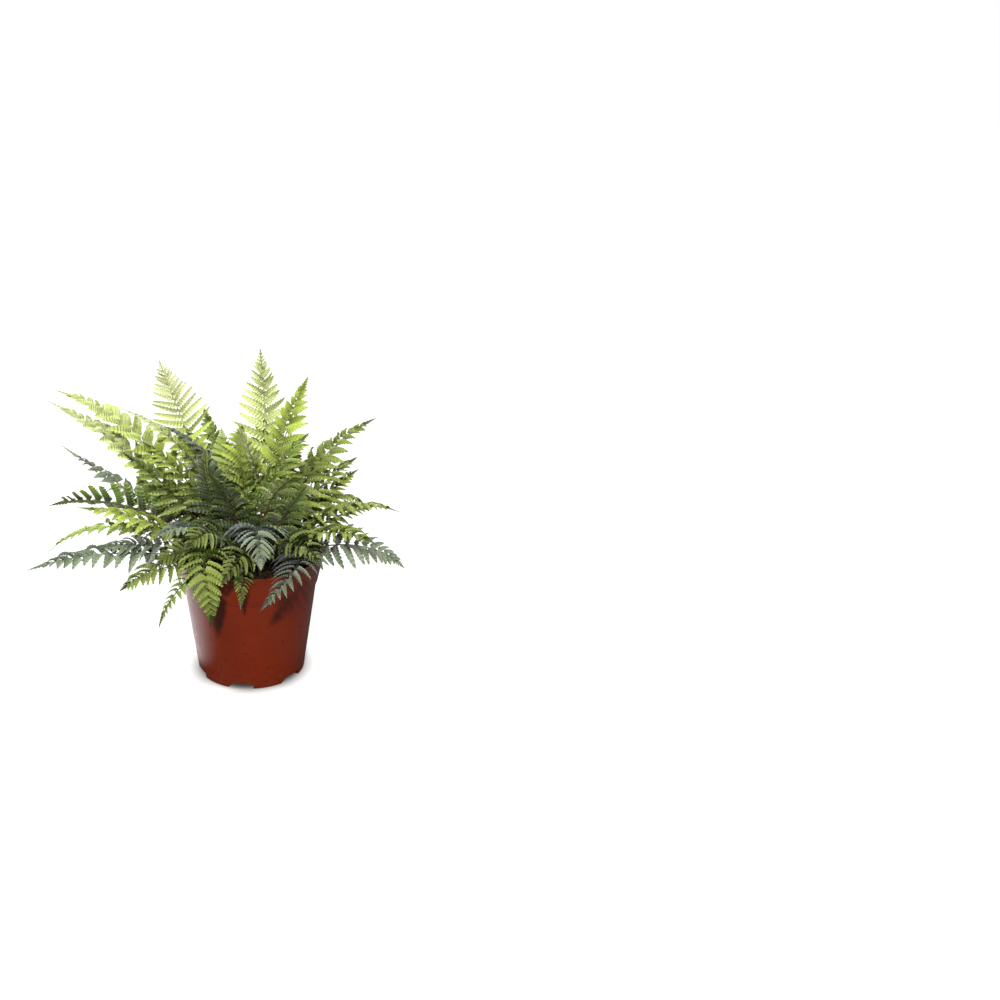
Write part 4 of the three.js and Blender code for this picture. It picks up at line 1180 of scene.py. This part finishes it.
def soil_height(x, y):
    """The soil's surface: low waves all over, and outside the crown's bed grains of one to seven
    millimetres. It falls a little towards the wall."""
    radius = np.hypot(x, y)
    spot = np.stack([x, y], -1)
    lumps = SOIL_LUMP * (np.sin(0.31 * x + 0.9) * np.cos(0.27 * y) + np.sin(0.19 * (x - y)))
    grains = 0.55 * waves(spot, 5, 60, 2.2, 7.0) + 0.3 * waves(spot, 6, 60, 1.2, 2.4)
    return SOIL_TOP - 1.0 * smooth(43, 57, radius) + lumps + grains * smooth(0, 2, radius - BED_RADIUS)


def make_soil(finish):
    """A closed body of revolution that fills the pot, with its top raised to soil_height."""
    brim = RIM_RADIUS - WALL - SOIL_GAP - BAND_SLOPE * (POT_HEIGHT - SOIL_TOP)
    waist = wall_radius(BAND_LOW) - WALL - SOIL_GAP
    foot = wall_radius(SOIL_FOOT) - WALL - SOIL_GAP
    bed = SOIL_TOP - BED_DEPTH
    side = [(POLE, SOIL_FOOT), (foot, SOIL_FOOT), (waist, BAND_LOW), (waist + 0.8, BAND_LOW + 3),
            (brim - BAND_SLOPE * 4, SOIL_TOP - 4)]
    top = [(radius, SOIL_TOP) for radius in np.linspace(brim, BED_RADIUS + 0.8, 26)]
    middle = [(BED_RADIUS, bed), (30.0, bed), (15.0, bed), (POLE, bed)]
    profile = np.array(side + top + middle)
    on_top = slice(len(side), len(side) + len(top))

    def height(x, y):
        """The profile's own height, and soil_height on top."""
        z = np.repeat(profile[:, 1:], x.shape[1], 1)
        z[on_top] = soil_height(x[on_top], y[on_top])
        return z

    wear(turned_body("potting_soil", profile[:, 0], height, 240), "soil", [finish], "soil")


def make_crown(finish):
    """A closed dome on a flat foot, knobbly with old leaf bases."""
    radii = np.concatenate([[POLE, 20.0, CROWN_RADIUS - 0.4], np.linspace(CROWN_RADIUS, POLE, 34)])

    def height(x, y):
        """The knobbly dome, level at its foot and no higher than CROWN_EDGE at its rim."""
        spot = np.stack([x, y], -1)
        knobs = 0.55 * waves(spot, 8, 50, 4.0, 9.0) + 0.25 * waves(spot, 9, 50, 1.5, 3.0)
        z = crown_height(radii)[:, None] - CROWN_KNOB + knobs - 0.6
        z[:3] = SOIL_TOP - BED_DEPTH + SOIL_GAP
        z[3] = np.minimum(z[3], CROWN_EDGE)
        return z

    wear(turned_body("crown_dome", radii, height, 150), "crown", [finish], "crown")


# Crumbs, specks and chaff

ICOSAHEDRON = np.array([(0, a, b * GOLDEN) for a in (-1, 1) for b in (-1, 1)]
                       + [(a, b * GOLDEN, 0) for a in (-1, 1) for b in (-1, 1)]
                       + [(b * GOLDEN, 0, a) for a in (-1, 1) for b in (-1, 1)]) / 1.902


def hull_faces(corners):
    """The 20 faces of the icosahedron: the triples of corners that are each other's neighbours."""
    distance = np.linalg.norm(corners[:, None] - corners[None], axis=-1)
    near = (distance > 0.1) & (distance < 1.2)
    faces = []
    for a in range(LUMP_CORNERS):
        for b in range(a + 1, LUMP_CORNERS):
            for c in range(b + 1, LUMP_CORNERS):
                if near[a, b] and near[b, c] and near[a, c]:
                    outward = np.cross(corners[b] - corners[a], corners[c] - corners[a]) @ corners[a] > 0
                    faces.append((a, b, c) if outward else (a, c, b))
    return np.array(faces)


def scatter_lumps(name, places, sizes, seed):
    """Small rough lumps: one icosahedron each, with its corners pushed in and out, then turned."""
    random = np.random.default_rng(seed)
    count = len(places)
    corners = ICOSAHEDRON[None] * random.uniform(0.7, 1.15, (count, LUMP_CORNERS, 1))
    corners = corners * random.uniform(0.75, 1.2, (count, 1, 3))
    axes = np.linalg.qr(random.normal(size=(count, 3, 3)))[0]
    axes *= np.sign(np.linalg.det(axes))[:, None, None]
    points = corners @ axes * sizes[:, None, None] + places[:, None]
    faces = hull_faces(ICOSAHEDRON)[None] + (np.arange(count) * LUMP_CORNERS)[:, None, None]
    return write_mesh(name, points.reshape(-1, 3), np.zeros((0, 4), int), faces.reshape(-1, 3))


def make_crumbs(earth, pale):
    """Loose crumbs on the ring of soil round the crown, and a few pale grains of perlite."""
    random = np.random.default_rng(21)
    radius = np.sqrt(random.uniform((BED_RADIUS + 0.5) ** 2, CRUMB_RING ** 2, CRUMBS))
    turn = random.uniform(0, TURN, CRUMBS)
    x, y = radius * np.cos(turn), radius * np.sin(turn)
    size = 0.35 + 0.9 * random.random(CRUMBS) ** 3
    places = np.stack([x, y, soil_height(x, y) + 0.2 * size], -1)
    pick = np.arange(CRUMBS) % 40 == 7
    wear(scatter_lumps("soil_crumbs", places[~pick], size[~pick], 22), "soil", [earth])
    wear(scatter_lumps("perlite_grains", places[pick], size[pick] * 0.9, 23), "soil", [pale])


def make_wall_specks(earth):
    """Each speck is where the camera's ray through its pixel first meets the cone of the wall."""
    places, sizes = [], []
    along = np.linspace(1000, 1400, 20001)[:, None]
    for i, pixel in enumerate(WALL_SPECKS):
        points = CAMERA_PLACE + along * pixel_ray(pixel)
        out = np.hypot(points[:, 0], points[:, 1]) - wall_radius(points[:, 2])
        places.append(points[np.argmax(out < 0)])
        sizes.append(0.75 - 0.07 * (i % 5))
    wear(scatter_lumps("soil_specks", np.array(places), np.array(sizes), 31), "soil", [earth])


def make_chaff(finish, fronds):
    """Papery brown scales: narrow leaf shapes of four corners and a thickness, which stand on the
    crown and up the lowest part of every stalk."""
    random = np.random.default_rng(41)
    roots, ways = [], []
    for frond in fronds:
        s = random.uniform(0.0, 0.22, STALK_CHAFF) ** 1.4 * 1.2
        ahead, across, up = frond.heading(s)
        angle = random.uniform(0, TURN, len(s))[:, None]
        outward = across * np.cos(angle) + up * np.sin(angle)
        roots.append(frond.at(s) + outward * frond.half(s)[:, None])
        ways.append(ahead * 0.75 + outward * 0.6)
    radius = CROWN_RADIUS * np.sqrt(random.uniform(0, 0.97, CROWN_CHAFF))
    turn = random.uniform(0, TURN, CROWN_CHAFF)
    roots.append(np.stack([radius * np.cos(turn), radius * np.sin(turn), crown_height(radius) - 1.2], -1))
    ways.append(random.normal(0, 0.5, (CROWN_CHAFF, 3)) + np.array([0, 0, 0.7]))
    roots, ways = np.concatenate(roots), np.concatenate(ways)
    ways /= np.linalg.norm(ways, axis=1, keepdims=True)
    side = np.cross(ways, random.normal(size=ways.shape))
    side /= np.linalg.norm(side, axis=1, keepdims=True)
    face = np.cross(ways, side)
    length = random.uniform(1.6, 4.2, len(roots))[:, None]
    breadth = random.uniform(0.25, 0.5, len(roots))[:, None]
    middle = roots + ways * length * 0.4
    corners = [roots, middle + side * breadth, roots + ways * length + face * length * 0.25,
               middle - side * breadth]
    points = np.stack([c + k * face * 0.07 for k in (1, -1) for c in corners], 1)
    box = np.array([[0, 1, 2, 3], [7, 6, 5, 4], [0, 4, 5, 1], [1, 5, 6, 2], [2, 6, 7, 3], [3, 7, 4, 0]])
    quads = box[None, :, ::-1] + (np.arange(len(roots)) * 8)[:, None, None]
    thing = write_mesh("crown_chaff", points.reshape(-1, 3), quads.reshape(-1, 4))
    wear(thing, "crown", [finish])


def main():
    """Camera and studio, the finishes, and then the pieces."""
    set_camera()
    set_studio()
    groups = {"mottle": mottle_group(), "pinna": pinna_group()}
    stalk = stalk_finish(groups)
    leaves = leaf_finishes(groups)
    earth = earth_finish("potting_soil", groups, colour(15, 12, 10), colour(44, 34, 27), 220.0)
    bark = earth_finish("old_leaf_bases", groups, colour(30, 20, 14), colour(78, 56, 37), 260.0)
    pale = earth_finish("perlite", groups, colour(168, 164, 156), colour(214, 212, 206), 200.0)
    make_pot(pot_finish(groups))
    make_soil(earth)
    make_crown(bark)
    make_crumbs(earth, pale)
    make_wall_specks(earth)
    fronds = [placed(row) for row in clump_rows()]
    for i, frond in enumerate(fronds):
        finishes = [leaves[frond.finish], stalk]
        wear(lacy_frond(frond, 100 + i), frond.finish + "_leaf", finishes, "frond_" + frond.name)
    make_chaff(bark, fronds)


main()
